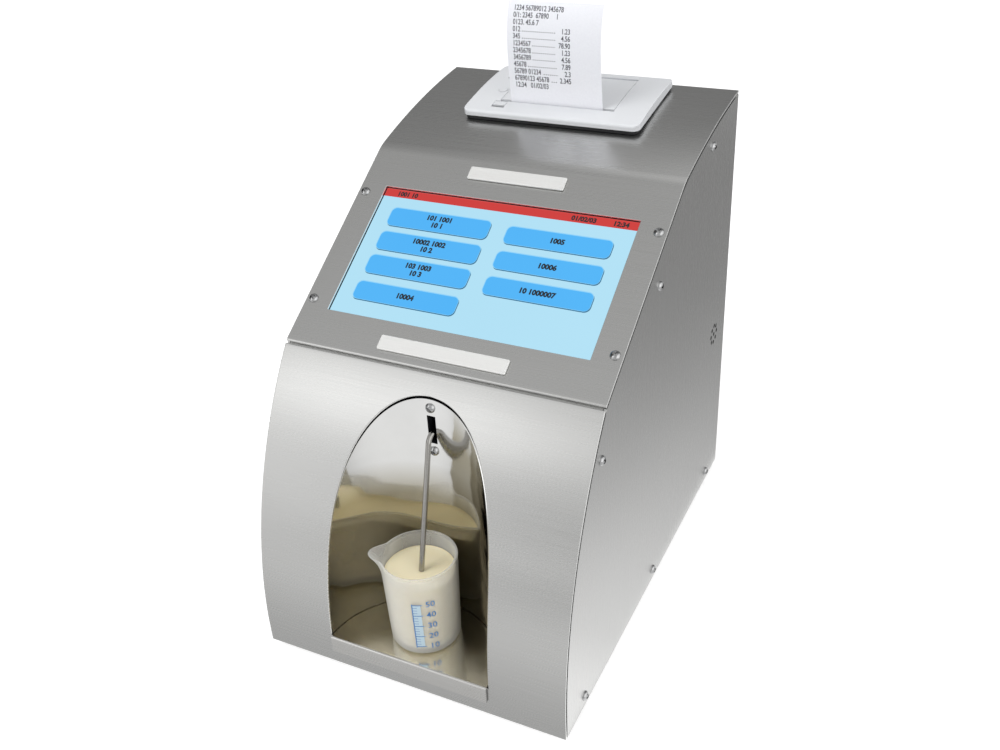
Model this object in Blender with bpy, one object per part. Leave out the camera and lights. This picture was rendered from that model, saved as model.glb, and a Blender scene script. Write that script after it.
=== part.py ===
"""Bench-top milk analyzer in folded stainless steel, built as separate pieces.

Metres, +Z up, front towards -Y.  Places inside the case are measured from the middle of the
front bottom edge of the case, and one empty carries them all to the part's own origin.
"""
import bmesh
import bpy
import math
from mathutils import Matrix, Vector

for old in list(bpy.data.objects):
    bpy.data.objects.remove(old, do_unlink=True)

# Driving dimensions of the case
CASE_WIDTH = 0.186
CASE_DEPTH = 0.270
CASE_HEIGHT = 0.2625
SHEET = 0.0012
SIDE_PLATE = 0.0015
GAP = 0.0003
OVERRUN = 0.010
FRONT_CURVE_START = 0.010
CREASE_BEHIND_NICHE = 0.0076
CREASE_HEIGHT_SHARE = 0.6495
BEND_DEPTH_SHARE = 0.6353
BEND_HEIGHT_SHARE = 0.9232
REAR_SLOPE = math.radians(5.2)
BEND_REACH = 0.008
TUCK_LENGTH = 0.009
FOOT_HEIGHT = 0.005
FOOT_RADIUS = 0.008
FOOT_INSET = 0.022
FOOT_PEG_RADIUS = 0.0025
FOOT_PEG_LENGTH = 0.003
FOOT_SOLE_SHARE = 0.85
FOOT_EDGE_SHARE = 0.8
CURVE_STEPS = 12
NICHE_STEPS = 28
CUP_STEPS = 48
PAPER_STEPS = 10

# Fasteners
SCREW_HEAD_RADIUS = 0.0028
SCREW_HEAD_HEIGHT = 0.0017
SCREW_SHANK_RADIUS = 0.0015
SCREW_LENGTH = 0.006
TAB_HALF = 0.0065
EDGE_FLANGE = 0.016
SIDE_SCREW_HEIGHT = 0.007
SIDE_SCREW_MARGIN = 0.026
UPPER_SCREW_DEPTH = 0.0133
UPPER_SCREW_DROP = 0.019
REAR_SCREW_DROP = 0.0105
REAR_SCREW_MARGIN = 0.049

# Sample niche, sample tube and cup
NICHE_RADIUS = 0.0486
LINER_SHEET = 0.0008
FLOOR_HEIGHT = 0.020
LIP_DROP = 0.0105
SLOT_WIDTH = 0.005
SLOT_LENGTH = 0.017
SLOT_BELOW_TOP = 0.0207
NICHE_SCREW_SPACING = 0.0267
TUBE_RADIUS = 0.0015
TUBE_RISE_LINE = 0.0446
TUBE_LEAN = math.radians(15.8)
TUBE_BEND_RADIUS = 0.005
TUBE_BELOW_CENTRE = 0.002
PIVOT_BEHIND_WALL = 0.0136
PIVOT_BELOW_CENTRE = 0.001
PIVOT_PIN_RADIUS = 0.0015
BRACKET_PLATE = 0.004
BRACKET_WIDTH = 0.018
CHEEK = 0.003
TUBE_BLOCK_WIDTH = 0.0074
TUBE_BLOCK_HEIGHT = 0.009
TUBE_BLOCK_LENGTH = 0.010
TUBE_TAIL = 0.009
CUP_BASE_RADIUS = 0.0193
CUP_RIM_RADIUS = 0.0210
CUP_HEIGHT = 0.0545
CUP_WALL = 0.0013
CUP_CORNER = 0.0021
CUP_CORNER_SHARE = 0.3
CUP_LEVEL_SHARES = (0.5, 0.8, 0.93, 1)
CUP_PLACE_X = -0.0012
CUP_PLACE_Y = 0.0245
SPOUT_REACH = 0.0070
SPOUT_TURN = math.radians(199)
SPOUT_SPREAD = math.radians(27)
SPOUT_SHARE = 0.22
MILK_LEVEL = 0.0452
TUBE_DIP = 0.0008

# Touch display on the slanted panel, measured up the slope from the crease
WINDOW_SIDE = 0.016
WINDOW_START = 0.0231
WINDOW_BELOW_BEND = 0.0277
MODULE_BESIDE_WINDOW = 0.0055
MODULE_BEYOND_WINDOW = 0.0078
MODULE_THICKNESS = 0.0057
GLASS_THICKNESS = 0.0011
FRAME_WALL = 0.0032
FRAME_BACK = 0.0015
FRAME_LEDGE = 0.006
REAR_TAB_BESIDE_PRINTER = 0.005
REAR_TAB_DROP = 0.014
EAR_LENGTH = 0.007
EAR_THICKNESS = 0.0035
PANEL_SCREW_INSET = 0.0045
PANEL_SCREW_ABOVE_SILL = 0.0049
PANEL_SCREW_BELOW_HEAD = 0.0058
PLATE_THICKNESS = 0.0012
UPPER_PLATE_WIDTH = 0.0585
UPPER_PLATE_LENGTH = 0.0083
UPPER_PLATE_BELOW_BEND = 0.0162
LOWER_PLATE_WIDTH = 0.075
LOWER_PLATE_LENGTH = 0.0085
LOWER_PLATE_START = 0.0055
PLATE_CORNER = 0.0008

# Panel printer on the rear of the top
PRINTER_WIDTH = 0.110
PRINTER_LENGTH = 0.063
PRINTER_FROM_REAR = 0.0345
PRINTER_TOUCH_BEHIND = 0.0055
PRINTER_CORNER = 0.004
PLATE_RIM = 0.0034
PLATE_CROWN = 0.0016
PLATE_BEVEL = 0.0010
GASKET_LEAST = 0.0006
GASKET_INSET = 0.0008
HOUSING_SIDE = 0.005
HOUSING_FROM_FRONT = 0.0045
HOUSING_FROM_BACK = 0.0085
HOUSING_WALL = 0.0016
ROLL_RADIUS = 0.0150
ROLL_CORE_RADIUS = 0.0060
ROLL_BEHIND_SLOT = 0.0205
ROLL_BELOW_PLATE = 0.020
PAPER_WIDTH = 0.0575
PAPER_THICKNESS = 0.0002
PAPER_RISE = 0.0575
PAPER_BOW = 0.0060
PAPER_START_BOW = 0.0015
PAPER_CURL = 0.0028
PAPER_BEND_SHARES = (0.35, 0.7)
PAPER_FROM_FRONT = 0.014
PAPER_SLOT = 0.0011
LID_BESIDE_PAPER = 0.00675
LID_THICKNESS = 0.0022
HINGE_FROM_BACK = 0.0083
HINGE_RADIUS = 0.0012
HINGE_PIN_RADIUS = 0.0008
HINGE_PIN_REACH = 0.0022
PLATEN_RADIUS = 0.0036
PLATEN_NIP = 0.0006
PLATEN_PIN_RADIUS = 0.0012
PLATEN_EAR = 0.0025
PRINT_HEAD_TOP = 0.0012
PRINT_HEAD_HEIGHT = 0.011
HEAD_FEED_SHARE = 0.8
BUTTON_RADIUS = 0.0026
BUTTON_LENGTH = 0.0060
BUTTON_PROUD = 0.0005
BUTTON_EDGE_SHARE = 0.85
BUTTON_TRAVEL = 0.0012
BUTTON_BESIDE_LID = 0.004
BUTTON_FORWARD = 0.0055
LATCH_WIDTH = 0.0076
LATCH_LENGTH = 0.0040
LATCH_THICKNESS = 0.0016
LATCH_INSIDE_LID = 0.001
LATCH_FINGER_GAP = 0.0022

# Works inside the case
CELL_WIDTH = 0.034
CELL_LENGTH = 0.036
CELL_HEIGHT = 0.070
CELL_FRONT = 0.080
CELL_CAP_RADIUS = 0.011
CELL_CAP_HEIGHT = 0.006
NOZZLE_RADIUS = 0.0017
NOZZLE_LENGTH = 0.006
HOSE_RADIUS = 0.0026
PUMP_FROM_SIDE = 0.045
PUMP_FRONT = 0.150
PUMP_HEAD_SIDE = 0.040
PUMP_HEAD_DEPTH = 0.018
PUMP_HEAD_WALL = 0.003
ROTOR_RADIUS = 0.0125
ROTOR_THICKNESS = 0.010
ROTOR_SHAFT_RADIUS = 0.002
MOTOR_RADIUS = 0.014
MOTOR_LENGTH = 0.038
LOBE_SHARE = 0.30
MOTOR_FOOT_SHARE = 0.7
BOARD_LENGTH = 0.090
BOARD_THICKNESS = 0.0016
BOARD_POST = 0.006
BOARD_POST_RADIUS = 0.003
BOARD_FROM_CELL = 0.010
BOARD_FROM_SIDE = 0.008
BOARD_FRONT = 0.066
POST_SHARES = ((0.1, 0.07), (0.9, 0.07), (0.1, 0.93), (0.9, 0.93))
CHIP_SHARES = (
    (0.30, 0.30, 0.30, 0.19, 2.5), (0.70, 0.62, 0.22, 0.16, 3.5),
    (0.25, 0.75, 0.28, 0.10, 5.5), (0.72, 0.20, 0.18, 0.12, 6.5),
)
SUPPLY_WIDTH = 0.050
SUPPLY_HEIGHT = 0.032
SUPPLY_FROM_BOARD = 0.010
SUPPLY_FROM_REAR = 0.026
TERMINAL_DEPTH = 0.006
TERMINAL_SHARE = 0.8
BUZZER_RADIUS = 0.010
BUZZER_DEPTH = 0.007
VENT_RADIUS = 0.0010
VENT_RING_RADIUS = 0.0058
VENT_COUNT = 8
VENT_FROM_REAR = 0.024
VENT_HEIGHT = 0.113

# Mains inlet module and probe socket on the back
INLET_FROM_SIDE = 0.043
INLET_HEIGHT = 0.100
INLET_WIDTH = 0.027
INLET_TALL = 0.050
INLET_DEPTH = 0.022
INLET_FLANGE = 0.0025
FLANGE_THICKNESS = 0.002
RECESS_WIDTH = 0.0210
ROCKER_TALL = 0.0130
ROCKER_DEPTH = 0.009
ROCKER_PIN_RADIUS = 0.0010
ROCKER_PIN_REACH = 0.0012
ROCKER_TILT = math.radians(10)
FUSE_TALL = 0.0060
FUSE_DEPTH = 0.014
PIN_RECESS_TALL = 0.0160
PIN_RECESS_DEPTH = 0.016
PIN_LENGTH = 0.009
PIN_WIDTH = 0.0020
PIN_SHARES = ((-0.30, -0.12), (0, 0.18), (0.30, -0.12))
ROCKER_SHARES = (
    (0.40, 0.43), (0.24, 0), (0.40, -0.43), (-0.22, -0.34), (-0.38, 0), (-0.22, 0.34),
)
RECESS_SPACING = 0.0025
SOCKET_FROM_SIDE = 0.043
SOCKET_HEIGHT = 0.100
SOCKET_RADIUS = 0.0049
SOCKET_WALL = 0.0009
SOCKET_REACH = 0.012
SOCKET_NUT_RADIUS = 0.008
SOCKET_NUT = 0.002
SOCKET_THREAD_RADIUS = 0.0055

# Sizes that follow from the ones above
HALF = CASE_WIDTH / 2
INSET = SHEET + GAP
INNER_HALF = HALF - SIDE_PLATE - GAP
HOLE_RADIUS = SCREW_SHANK_RADIUS + GAP
LINER_RADIUS = NICHE_RADIUS + LINER_SHEET
CREASE_DEPTH = LINER_RADIUS + CREASE_BEHIND_NICHE
CREASE_HEIGHT = CASE_HEIGHT * CREASE_HEIGHT_SHARE
CREASE = Vector((CREASE_DEPTH, CREASE_HEIGHT))
BEND = Vector((CASE_DEPTH * BEND_DEPTH_SHARE, CASE_HEIGHT * BEND_HEIGHT_SHARE))
SLANT_LENGTH = (BEND - CREASE).length
SLANT_ANGLE = math.atan2(BEND.y - CREASE.y, BEND.x - CREASE.x)
SLOPE_RUN = math.cos(SLANT_ANGLE)
SLOPE_RISE = math.sin(SLANT_ANGLE)
UP_SLOPE = Vector((SLOPE_RUN, SLOPE_RISE))
INTO_SLOPE = Vector((SLOPE_RISE, -SLOPE_RUN))
FRONT_TOP = CREASE_HEIGHT - GAP
FRONT_RADIUS = (CREASE_DEPTH ** 2 + (CREASE_HEIGHT - FRONT_CURVE_START) ** 2) / (2 * CREASE_DEPTH)
WINDOW_WIDTH = CASE_WIDTH - 2 * WINDOW_SIDE
WINDOW_LENGTH = SLANT_LENGTH - WINDOW_START - WINDOW_BELOW_BEND
WINDOW_END = WINDOW_START + WINDOW_LENGTH
MODULE_WIDTH = WINDOW_WIDTH + 2 * MODULE_BESIDE_WINDOW
MODULE_LENGTH = WINDOW_LENGTH + 2 * MODULE_BEYOND_WINDOW
NICHE_TOP = FRONT_CURVE_START + math.sqrt(LINER_RADIUS * (2 * FRONT_RADIUS - LINER_RADIUS))
SLOT_CENTRE = NICHE_TOP - SLOT_BELOW_TOP
HOUSING_WIDTH = PRINTER_WIDTH - 2 * HOUSING_SIDE
HOUSING_FRONT = PRINTER_LENGTH / 2 - HOUSING_FROM_FRONT
HOUSING_BACK = PRINTER_LENGTH / 2 - HOUSING_FROM_BACK
HINGE_BACK = PRINTER_LENGTH / 2 - HINGE_FROM_BACK
PAPER_LINE = PRINTER_LENGTH / 2 - PAPER_FROM_FRONT
LID_WIDTH = PAPER_WIDTH + 2 * LID_BESIDE_PAPER
BUTTON_X = -LID_WIDTH / 2 - BUTTON_BESIDE_LID
LATCH_X = LATCH_INSIDE_LID - LID_WIDTH / 2
REAR_TAB_WIDTH = PRINTER_WIDTH + 2 * REAR_TAB_BESIDE_PRINTER
PUMP_X = PUMP_FROM_SIDE - HALF
INLET_X = HALF - INLET_FROM_SIDE
SOCKET_X = SOCKET_FROM_SIDE - HALF
BACK_REACH = SOCKET_REACH + GAP
LIP_REACH = GAP + SHEET
MIDDLE_Y = (CASE_DEPTH + BACK_REACH - LIP_REACH) / 2


def finish(name, colour, roughness, metallic=0.0, alpha=1.0):
    """One Principled material."""
    material = bpy.data.materials.new(name)
    material.use_nodes = True
    shader = material.node_tree.nodes["Principled BSDF"]
    shader.inputs["Base Color"].default_value = (*colour, 1)
    shader.inputs["Roughness"].default_value = roughness
    shader.inputs["Metallic"].default_value = metallic
    shader.inputs["Alpha"].default_value = alpha
    return material


STEEL = finish("brushed_stainless", (0.55, 0.55, 0.54), 0.35, 1)
MIRROR = finish("polished_stainless", (0.70, 0.69, 0.66), 0.06, 1)
ZINC = finish("zinc_plated_screw", (0.62, 0.62, 0.62), 0.25, 1)
WHITE = finish("white_abs", (0.86, 0.86, 0.86), 0.40)
BLACK = finish("black_rubber", (0.03, 0.03, 0.03), 0.70)
SCREEN = finish("touch_glass", (0.50, 0.80, 0.95), 0.08)
DARK = finish("black_abs", (0.05, 0.05, 0.05), 0.45)
CUP = finish("clear_polypropylene", (0.88, 0.90, 0.88), 0.30, 0, 0.45)
MILK = finish("milk", (0.90, 0.84, 0.66), 0.30)
PAPER = finish("thermal_paper", (0.93, 0.93, 0.94), 0.60)
SILICONE = finish("silicone_hose", (0.80, 0.82, 0.80), 0.40)
BOARD = finish("green_board", (0.04, 0.25, 0.10), 0.45)
PLATED = finish("nickel_plate", (0.60, 0.58, 0.52), 0.25, 1)


def empty(name, place=(0, 0, 0), turn=(0, 0, 0), parent=None):
    """An empty that carries other pieces."""
    holder = bpy.data.objects.new(name, None)
    bpy.context.scene.collection.objects.link(holder)
    holder.location = place
    holder.rotation_euler = turn
    holder.parent = parent
    return holder


def solid(name, mesh, material, parent, origin=(0, 0, 0), smooth=None):
    """One named piece, with its origin at the given point of its parent's frame."""
    bmesh.ops.remove_doubles(mesh, verts=mesh.verts, dist=GAP / 100)
    bmesh.ops.recalc_face_normals(mesh, faces=mesh.faces)
    bmesh.ops.translate(mesh, verts=mesh.verts, vec=-Vector(origin))
    data = bpy.data.meshes.new(name)
    mesh.to_mesh(data)
    mesh.free()
    data.materials.append(material)
    if smooth:
        data.shade_smooth()
        data.set_sharp_from_angle(angle=smooth)
    piece = bpy.data.objects.new(name, data)
    bpy.context.scene.collection.objects.link(piece)
    piece.location = origin
    piece.parent = parent
    return piece


def cutter(name, mesh, parent, origin=(0, 0, 0)):
    """A helper solid that only cuts or joins."""
    helper = solid(name, mesh, DARK, parent, origin)
    helper.hide_render = True
    helper.display_type = "WIRE"
    return helper


def combine(piece, helper, operation):
    """Boolean of a piece with a helper."""
    step = piece.modifiers.new(helper.name, "BOOLEAN")
    step.operation = operation
    step.solver = "EXACT"
    step.object = helper


def cut(piece, *helpers):
    """Take helpers out of a piece."""
    for helper in helpers:
        combine(piece, helper, "DIFFERENCE")


def join(piece, *helpers):
    """Join helpers to a piece."""
    for helper in helpers:
        combine(piece, helper, "UNION")


def prism(outline, low, high, axis="X"):
    """A flat outline swept along one axis between two levels."""
    place = {
        "X": lambda a, b, t: (t, a, b),
        "Y": lambda a, b, t: (a, t, b),
        "Z": lambda a, b, t: (a, b, t),
    }[axis]
    mesh = bmesh.new()
    first = [mesh.verts.new(place(a, b, low)) for a, b in outline]
    last = [mesh.verts.new(place(a, b, high)) for a, b in outline]
    mesh.faces.new(first)
    mesh.faces.new(list(reversed(last)))
    count = len(outline)
    for i in range(count):
        j = (i + 1) % count
        mesh.faces.new((first[i], last[i], last[j], first[j]))
    return mesh


def block(low, high):
    """A box between two corners."""
    outline = [(low[0], low[1]), (high[0], low[1]), (high[0], high[1]), (low[0], high[1])]
    return prism(outline, low[2], high[2], "Z")


def rounded(width, length, corner, centre=(0, 0), steps=4):
    """Outline of a rectangle with round corners."""
    points = []
    for quarter, (sx, sy) in enumerate(((1, 1), (-1, 1), (-1, -1), (1, -1))):
        cx = centre[0] + sx * (width / 2 - corner)
        cy = centre[1] + sy * (length / 2 - corner)
        for i in range(steps + 1):
            angle = (quarter + i / steps) * math.pi / 2
            points.append((cx + corner * math.cos(angle), cy + corner * math.sin(angle)))
    return points


def arc(radius, centre, start, end, steps):
    """Points along an arc, both ends included."""
    points = []
    for i in range(steps + 1):
        angle = start + (end - start) * i / steps
        points.append((centre[0] + radius * math.cos(angle), centre[1] + radius * math.sin(angle)))
    return points


def disc(radius, centre=(0, 0), steps=16):
    """Outline of a circle."""
    return arc(radius, centre, 0, 2 * math.pi, steps)[:-1]


def turned(profile, steps=16):
    """A profile of radius and height turned about Z; its ends lie on the axis or meet."""
    mesh = bmesh.new()
    rings = []
    for radius, height in profile:
        if radius < GAP / 1000:
            rings.append([mesh.verts.new((0, 0, height))])
        else:
            ring = disc(radius, steps=steps)
            rings.append([mesh.verts.new((x, y, height)) for x, y in ring])
    closed = len(rings[0]) > 1
    pairs = list(zip(rings, rings[1:]))
    if closed:
        pairs.append((rings[-1], rings[0]))
    for lower, upper in pairs:
        for i in range(steps):
            j = (i + 1) % steps
            if len(lower) == 1 and len(upper) == 1:
                continue
            if len(lower) == 1:
                mesh.faces.new((lower[0], upper[j], upper[i]))
            elif len(upper) == 1:
                mesh.faces.new((lower[i], lower[j], upper[0]))
            else:
                mesh.faces.new((lower[i], lower[j], upper[j], upper[i]))
    return mesh


def aim(mesh, axis, place=(0, 0, 0)):
    """Turn a solid made along +Z to another direction and carry it to its place."""
    turn = Vector((0, 0, 1)).rotation_difference(Vector(axis)).to_matrix().to_4x4()
    bmesh.ops.transform(mesh, matrix=Matrix.Translation(place) @ turn, verts=mesh.verts)
    return mesh


def rod(radius, start, end, steps=16):
    """A straight round bar between two points."""
    run = Vector(end) - Vector(start)
    return aim(prism(disc(radius, steps=steps), 0, run.length, "Z"), run, start)


def offset(path, distance):
    """A path moved to its right-hand side by a distance, mitred at its corners."""
    moved = []
    for i, point in enumerate(path):
        here = Vector(point)
        before = (here - Vector(path[i - 1])).normalized() if i else None
        after = (Vector(path[i + 1]) - here).normalized() if i + 1 < len(path) else None
        before = before or after
        after = after or before
        side = (Vector((before.y, -before.x)) + Vector((after.y, -after.x))).normalized()
        stretch = side.dot(Vector((before.y, -before.x)))
        moved.append(tuple(here + side * distance / stretch))
    return moved


def strip(path, thickness):
    """Closed outline of a sheet whose outer side follows a path."""
    return path + list(reversed(offset(path, thickness)))


def curve_through(points, steps):
    """A smooth curve through points, sampled evenly between each two."""
    ends = [2 * points[0] - points[1]] + points + [2 * points[-1] - points[-2]]
    line = []
    for a, b, c, d in zip(ends, ends[1:], ends[2:], ends[3:]):
        for i in range(steps):
            t = i / steps
            line.append(
                (2 * b + (c - a) * t + (2 * a - 5 * b + 4 * c - d) * t * t
                 + (3 * b - a - 3 * c + d) * t * t * t) / 2
            )
    return line + [points[-1]]


def hose(name, points, radius, material, parent):
    """A round hose along a smooth route."""
    data = bpy.data.curves.new(name, "CURVE")
    data.dimensions = "3D"
    data.bevel_depth = radius
    data.bevel_resolution = 2
    data.use_fill_caps = True
    route = data.splines.new("POLY")
    route.points.add(len(points) - 1)
    for spot, place in zip(route.points, points):
        spot.co = (*place, 1)
    data.materials.append(material)
    piece = bpy.data.objects.new(name, data)
    bpy.context.scene.collection.objects.link(piece)
    piece.parent = parent
    return piece


# The part's origin is under the middle of its whole box
CASE = empty("case", (0, -MIDDLE_Y, FOOT_HEIGHT))

# Outer line of the case in Y and Z: the front curve, the straight slant and the crowned top
REAR_TOP = Vector((CASE_DEPTH, CASE_HEIGHT))
CHORD = REAR_TOP - BEND
CHORD_SLOPE = math.atan2(CHORD.y, CHORD.x)
TOP_SLOPE = 2 * CHORD_SLOPE - REAR_SLOPE
TOP_RADIUS = CHORD.length / (2 * math.sin((TOP_SLOPE - REAR_SLOPE) / 2))
TOP_CENTRE = REAR_TOP - Vector((-math.sin(REAR_SLOPE), math.cos(REAR_SLOPE))) * TOP_RADIUS


def front_y(height):
    """Depth of the front curve at a height."""
    rise = max(height - FRONT_CURVE_START, 0)
    return FRONT_RADIUS - math.sqrt(FRONT_RADIUS ** 2 - rise ** 2)


def front_path():
    """The front from its foot to just under the crease."""
    heights = [0] + [
        FRONT_CURVE_START + (FRONT_TOP - FRONT_CURVE_START) * i / CURVE_STEPS
        for i in range(CURVE_STEPS + 1)
    ]
    return [(front_y(h), h) for h in heights]


def on_top(slope):
    """Point of the crowned top where it has a slope."""
    return TOP_CENTRE + Vector((-math.sin(slope), math.cos(slope))) * TOP_RADIUS


def top_path():
    """The slant and the top from the crease to the rear edge."""
    turn = BEND_REACH / TOP_RADIUS
    start = BEND - UP_SLOPE * BEND_REACH
    end = on_top(TOP_SLOPE - turn)
    points = [tuple(CREASE)]
    for i in range(5):
        t = i / 4
        points.append(tuple(start * (1 - t) ** 2 + BEND * 2 * t * (1 - t) + end * t * t))
    for i in range(1, CURVE_STEPS + 1):
        slope = (TOP_SLOPE - turn) + (REAR_SLOPE - TOP_SLOPE + turn) * i / CURVE_STEPS
        points.append(tuple(on_top(slope)))
    return points


def top_z(depth):
    """Height of the slant and top at a depth."""
    path = top_path()
    for (y0, z0), (y1, z1) in zip(path, path[1:]):
        if depth <= y1 or (y1, z1) == path[-1]:
            return z0 + (z1 - z0) * (depth - y0) / (y1 - y0)


def meet(first, second):
    """Point where the lines through two pairs of points cross."""
    a, b = (Vector(p) for p in first)
    c, d = (Vector(p) for p in second)
    along, across = b - a, d - c
    share = (c - a).cross(across) / along.cross(across)
    return tuple(a + along * share)


def inside_outline(inset):
    """Side outline of everything that lies deeper than an inset under the front and top."""
    front = offset(front_path(), inset)
    top = offset(top_path(), inset)
    corner = meet(front[-2:], top[:2])
    rear = meet(top[-2:], ((CASE_DEPTH, 0), (CASE_DEPTH, CASE_HEIGHT)))
    return front[:-1] + [corner] + top[1:-1] + [rear, (CASE_DEPTH, 0)]


def screw_places():
    """Where the six screws of one side plate stand, in Y and Z."""
    low = [SIDE_SCREW_MARGIN, CASE_DEPTH / 2, CASE_DEPTH - SIDE_SCREW_MARGIN]
    front_z = CREASE_HEIGHT - UPPER_SCREW_DROP - TAB_HALF - INSET
    slant_y = BEND[0] - SLANT_LENGTH * SLOPE_RUN / 3
    rear_y = CASE_DEPTH - REAR_SCREW_MARGIN
    return {
        "low_front": (low[0], SIDE_SCREW_HEIGHT),
        "low_middle": (low[1], SIDE_SCREW_HEIGHT),
        "low_rear": (low[2], SIDE_SCREW_HEIGHT),
        "front": (front_y(front_z) + UPPER_SCREW_DEPTH, front_z),
        "slant": (slant_y, top_z(slant_y) - UPPER_SCREW_DROP),
        "rear": (rear_y, top_z(rear_y) - REAR_SCREW_DROP),
    }


def screw(name, parent, place, axis, length=SCREW_LENGTH):
    """A dome-head screw whose head rests just off a face that looks along the axis."""
    rise = SCREW_HEAD_HEIGHT
    wide = SCREW_HEAD_RADIUS
    profile = [(0, GAP - length), (SCREW_SHANK_RADIUS, GAP - length), (SCREW_SHANK_RADIUS, GAP),
               (wide, GAP), (wide, GAP + rise / 3)]
    for i in range(1, 3):
        angle = i / 3 * math.pi / 2
        profile.append((wide * math.cos(angle), GAP + rise / 3 + rise * 2 / 3 * math.sin(angle)))
    profile.append((0, GAP + rise))
    mesh = aim(turned(profile, 12), axis, place)
    return solid(name, mesh, ZINC, parent, place, math.radians(40))


def hole(name, parent, place, axis, radius=HOLE_RADIUS, reach=OVERRUN, steps=12):
    """A round cutter through a face."""
    along = Vector(axis) * reach
    mesh = rod(radius, Vector(place) - along, Vector(place) + along, steps)
    return cutter(name, mesh, parent)


# Chassis: base tray and back folded from one sheet
BACK_TOP = top_z(CASE_DEPTH - SHEET) - (SHEET + GAP) / math.cos(REAR_SLOPE)
chassis_outline = [
    (INSET, 0), (CASE_DEPTH, 0), (CASE_DEPTH, BACK_TOP), (CASE_DEPTH - SHEET, BACK_TOP),
    (CASE_DEPTH - SHEET, SHEET), (INSET, SHEET),
]
chassis = solid("chassis", prism(chassis_outline, -INNER_HALF, INNER_HALF), STEEL, CASE)
for side, word in ((-1, "left"), (1, "right")):
    edge = sorted((side * INNER_HALF, side * (INNER_HALF - SHEET)))
    flange_outline = [
        (INSET + SHEET, SHEET / 2), (CASE_DEPTH - SHEET / 2, SHEET / 2),
        (CASE_DEPTH - SHEET / 2, EDGE_FLANGE), (INSET + EDGE_FLANGE, EDGE_FLANGE),
        (INSET + SHEET, EDGE_FLANGE / 2),
    ]
    join(chassis, cutter(f"flange_{word}", prism(flange_outline, *edge), CASE))

# Side plates, their screws and the holes for them
places = screw_places()
for side, word in ((-1, "left"), (1, "right")):
    span = sorted((side * HALF, side * (HALF - SIDE_PLATE)))
    plate = solid(f"side_panel_{word}", prism(inside_outline(INSET), *span), STEEL, CASE)
    for spot, (y, z) in places.items():
        face = (side * HALF, y, z)
        hole_name = f"screw_hole_{word}_{spot}"
        bore = hole(hole_name, CASE, face, (side, 0, 0))
        cut(plate, bore)
        if spot.startswith("low"):
            cut(chassis, bore)
        screw(f"side_screw_{word}_{spot}", CASE, face, (side, 0, 0))
    if side > 0:
        vent_y = CASE_DEPTH - VENT_FROM_REAR
        spots = disc(VENT_RING_RADIUS, (vent_y, VENT_HEIGHT), VENT_COUNT) + [(vent_y, VENT_HEIGHT)]
        for i, (y, z) in enumerate(spots):
            mouth = (side * HALF, y, z)
            cut(plate, hole(f"vent_{i}", CASE, mouth, (side, 0, 0), VENT_RADIUS, OVERRUN, 8))


def tab(cover, name, side, spot, outline):
    """A welded tab behind a side plate that takes one of its screws."""
    edge = sorted((side * INNER_HALF, side * (INNER_HALF - SHEET)))
    join(cover, cutter(name, prism(outline, *edge), CASE))
    cut(cover, bpy.data.objects[f"screw_hole_{'left' if side < 0 else 'right'}_{spot}"])


# Front cover with its arch: a curved sheet that slips under the upper cover
front_end = Vector(front_path()[-1])
end_face = (front_end, front_end + INTO_SLOPE)
inner_line = offset(front_path(), SHEET)
inner_end = meet(inner_line[-2:], end_face)
front_outline = front_path() + [inner_end] + list(reversed(inner_line[:-1]))
front_cover = solid("front_cover", prism(front_outline, -HALF, HALF), STEEL, CASE,
                    smooth=math.radians(20))
under_slant = offset(top_path(), INSET)[:2]
tuck_under = offset(top_path(), INSET + SHEET)[:2]
tuck_top = meet(end_face, under_slant)
tuck_end = Vector(under_slant[0]) + UP_SLOPE * TUCK_LENGTH
tuck_root = meet(inner_line[-2:], tuck_under)
down_front = (Vector(front_path()[-2]) - front_end).normalized()
tuck = [tuple(front_end + (INTO_SLOPE + down_front) * SHEET / 2), tuck_top, tuple(tuck_end),
        tuple(tuck_end + INTO_SLOPE * SHEET), tuck_root,
        meet(offset(front_path(), SHEET / 2)[-2:], (tuck_root, Vector(tuck_root) - INTO_SLOPE))]
join(front_cover, cutter("tuck", prism(tuck, -INNER_HALF, INNER_HALF), CASE))
for side, word in ((-1, "left"), (1, "right")):
    y, z = places["front"]
    bite = SHEET / 2
    shape = [(front_y(z - TAB_HALF) + bite, z - TAB_HALF), (y + TAB_HALF, z - TAB_HALF),
             (y + TAB_HALF, z + TAB_HALF), (front_y(z + TAB_HALF) + bite, z + TAB_HALF)]
    tab(front_cover, f"front_tab_{word}", side, "front", shape)

# The niche is a vertical half cylinder whose axis stands on the front bottom edge
mouth_bottom = FLOOR_HEIGHT - SHEET - GAP
arch = rod(LINER_RADIUS + GAP, (0, 0, mouth_bottom), (0, 0, CASE_HEIGHT), 64)
cut(front_cover, cutter("arch", arch, CASE))

# Upper cover: slanted panel and crowned top in one bent sheet
upper_cover = solid("upper_cover", prism(strip(top_path(), SHEET), -HALF, HALF), STEEL, CASE,
                    smooth=math.radians(20))
for side, word in ((-1, "left"), (1, "right")):
    for spot in ("slant", "rear"):
        y, z = places[spot]
        bite = SHEET / 2 / SLOPE_RUN
        shape = [(y - TAB_HALF, z - TAB_HALF), (y + TAB_HALF, z - TAB_HALF),
                 (y + TAB_HALF, top_z(y + TAB_HALF) - bite),
                 (y - TAB_HALF, top_z(y - TAB_HALF) - bite)]
        tab(upper_cover, f"{spot}_tab_{word}", side, spot, shape)

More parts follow.
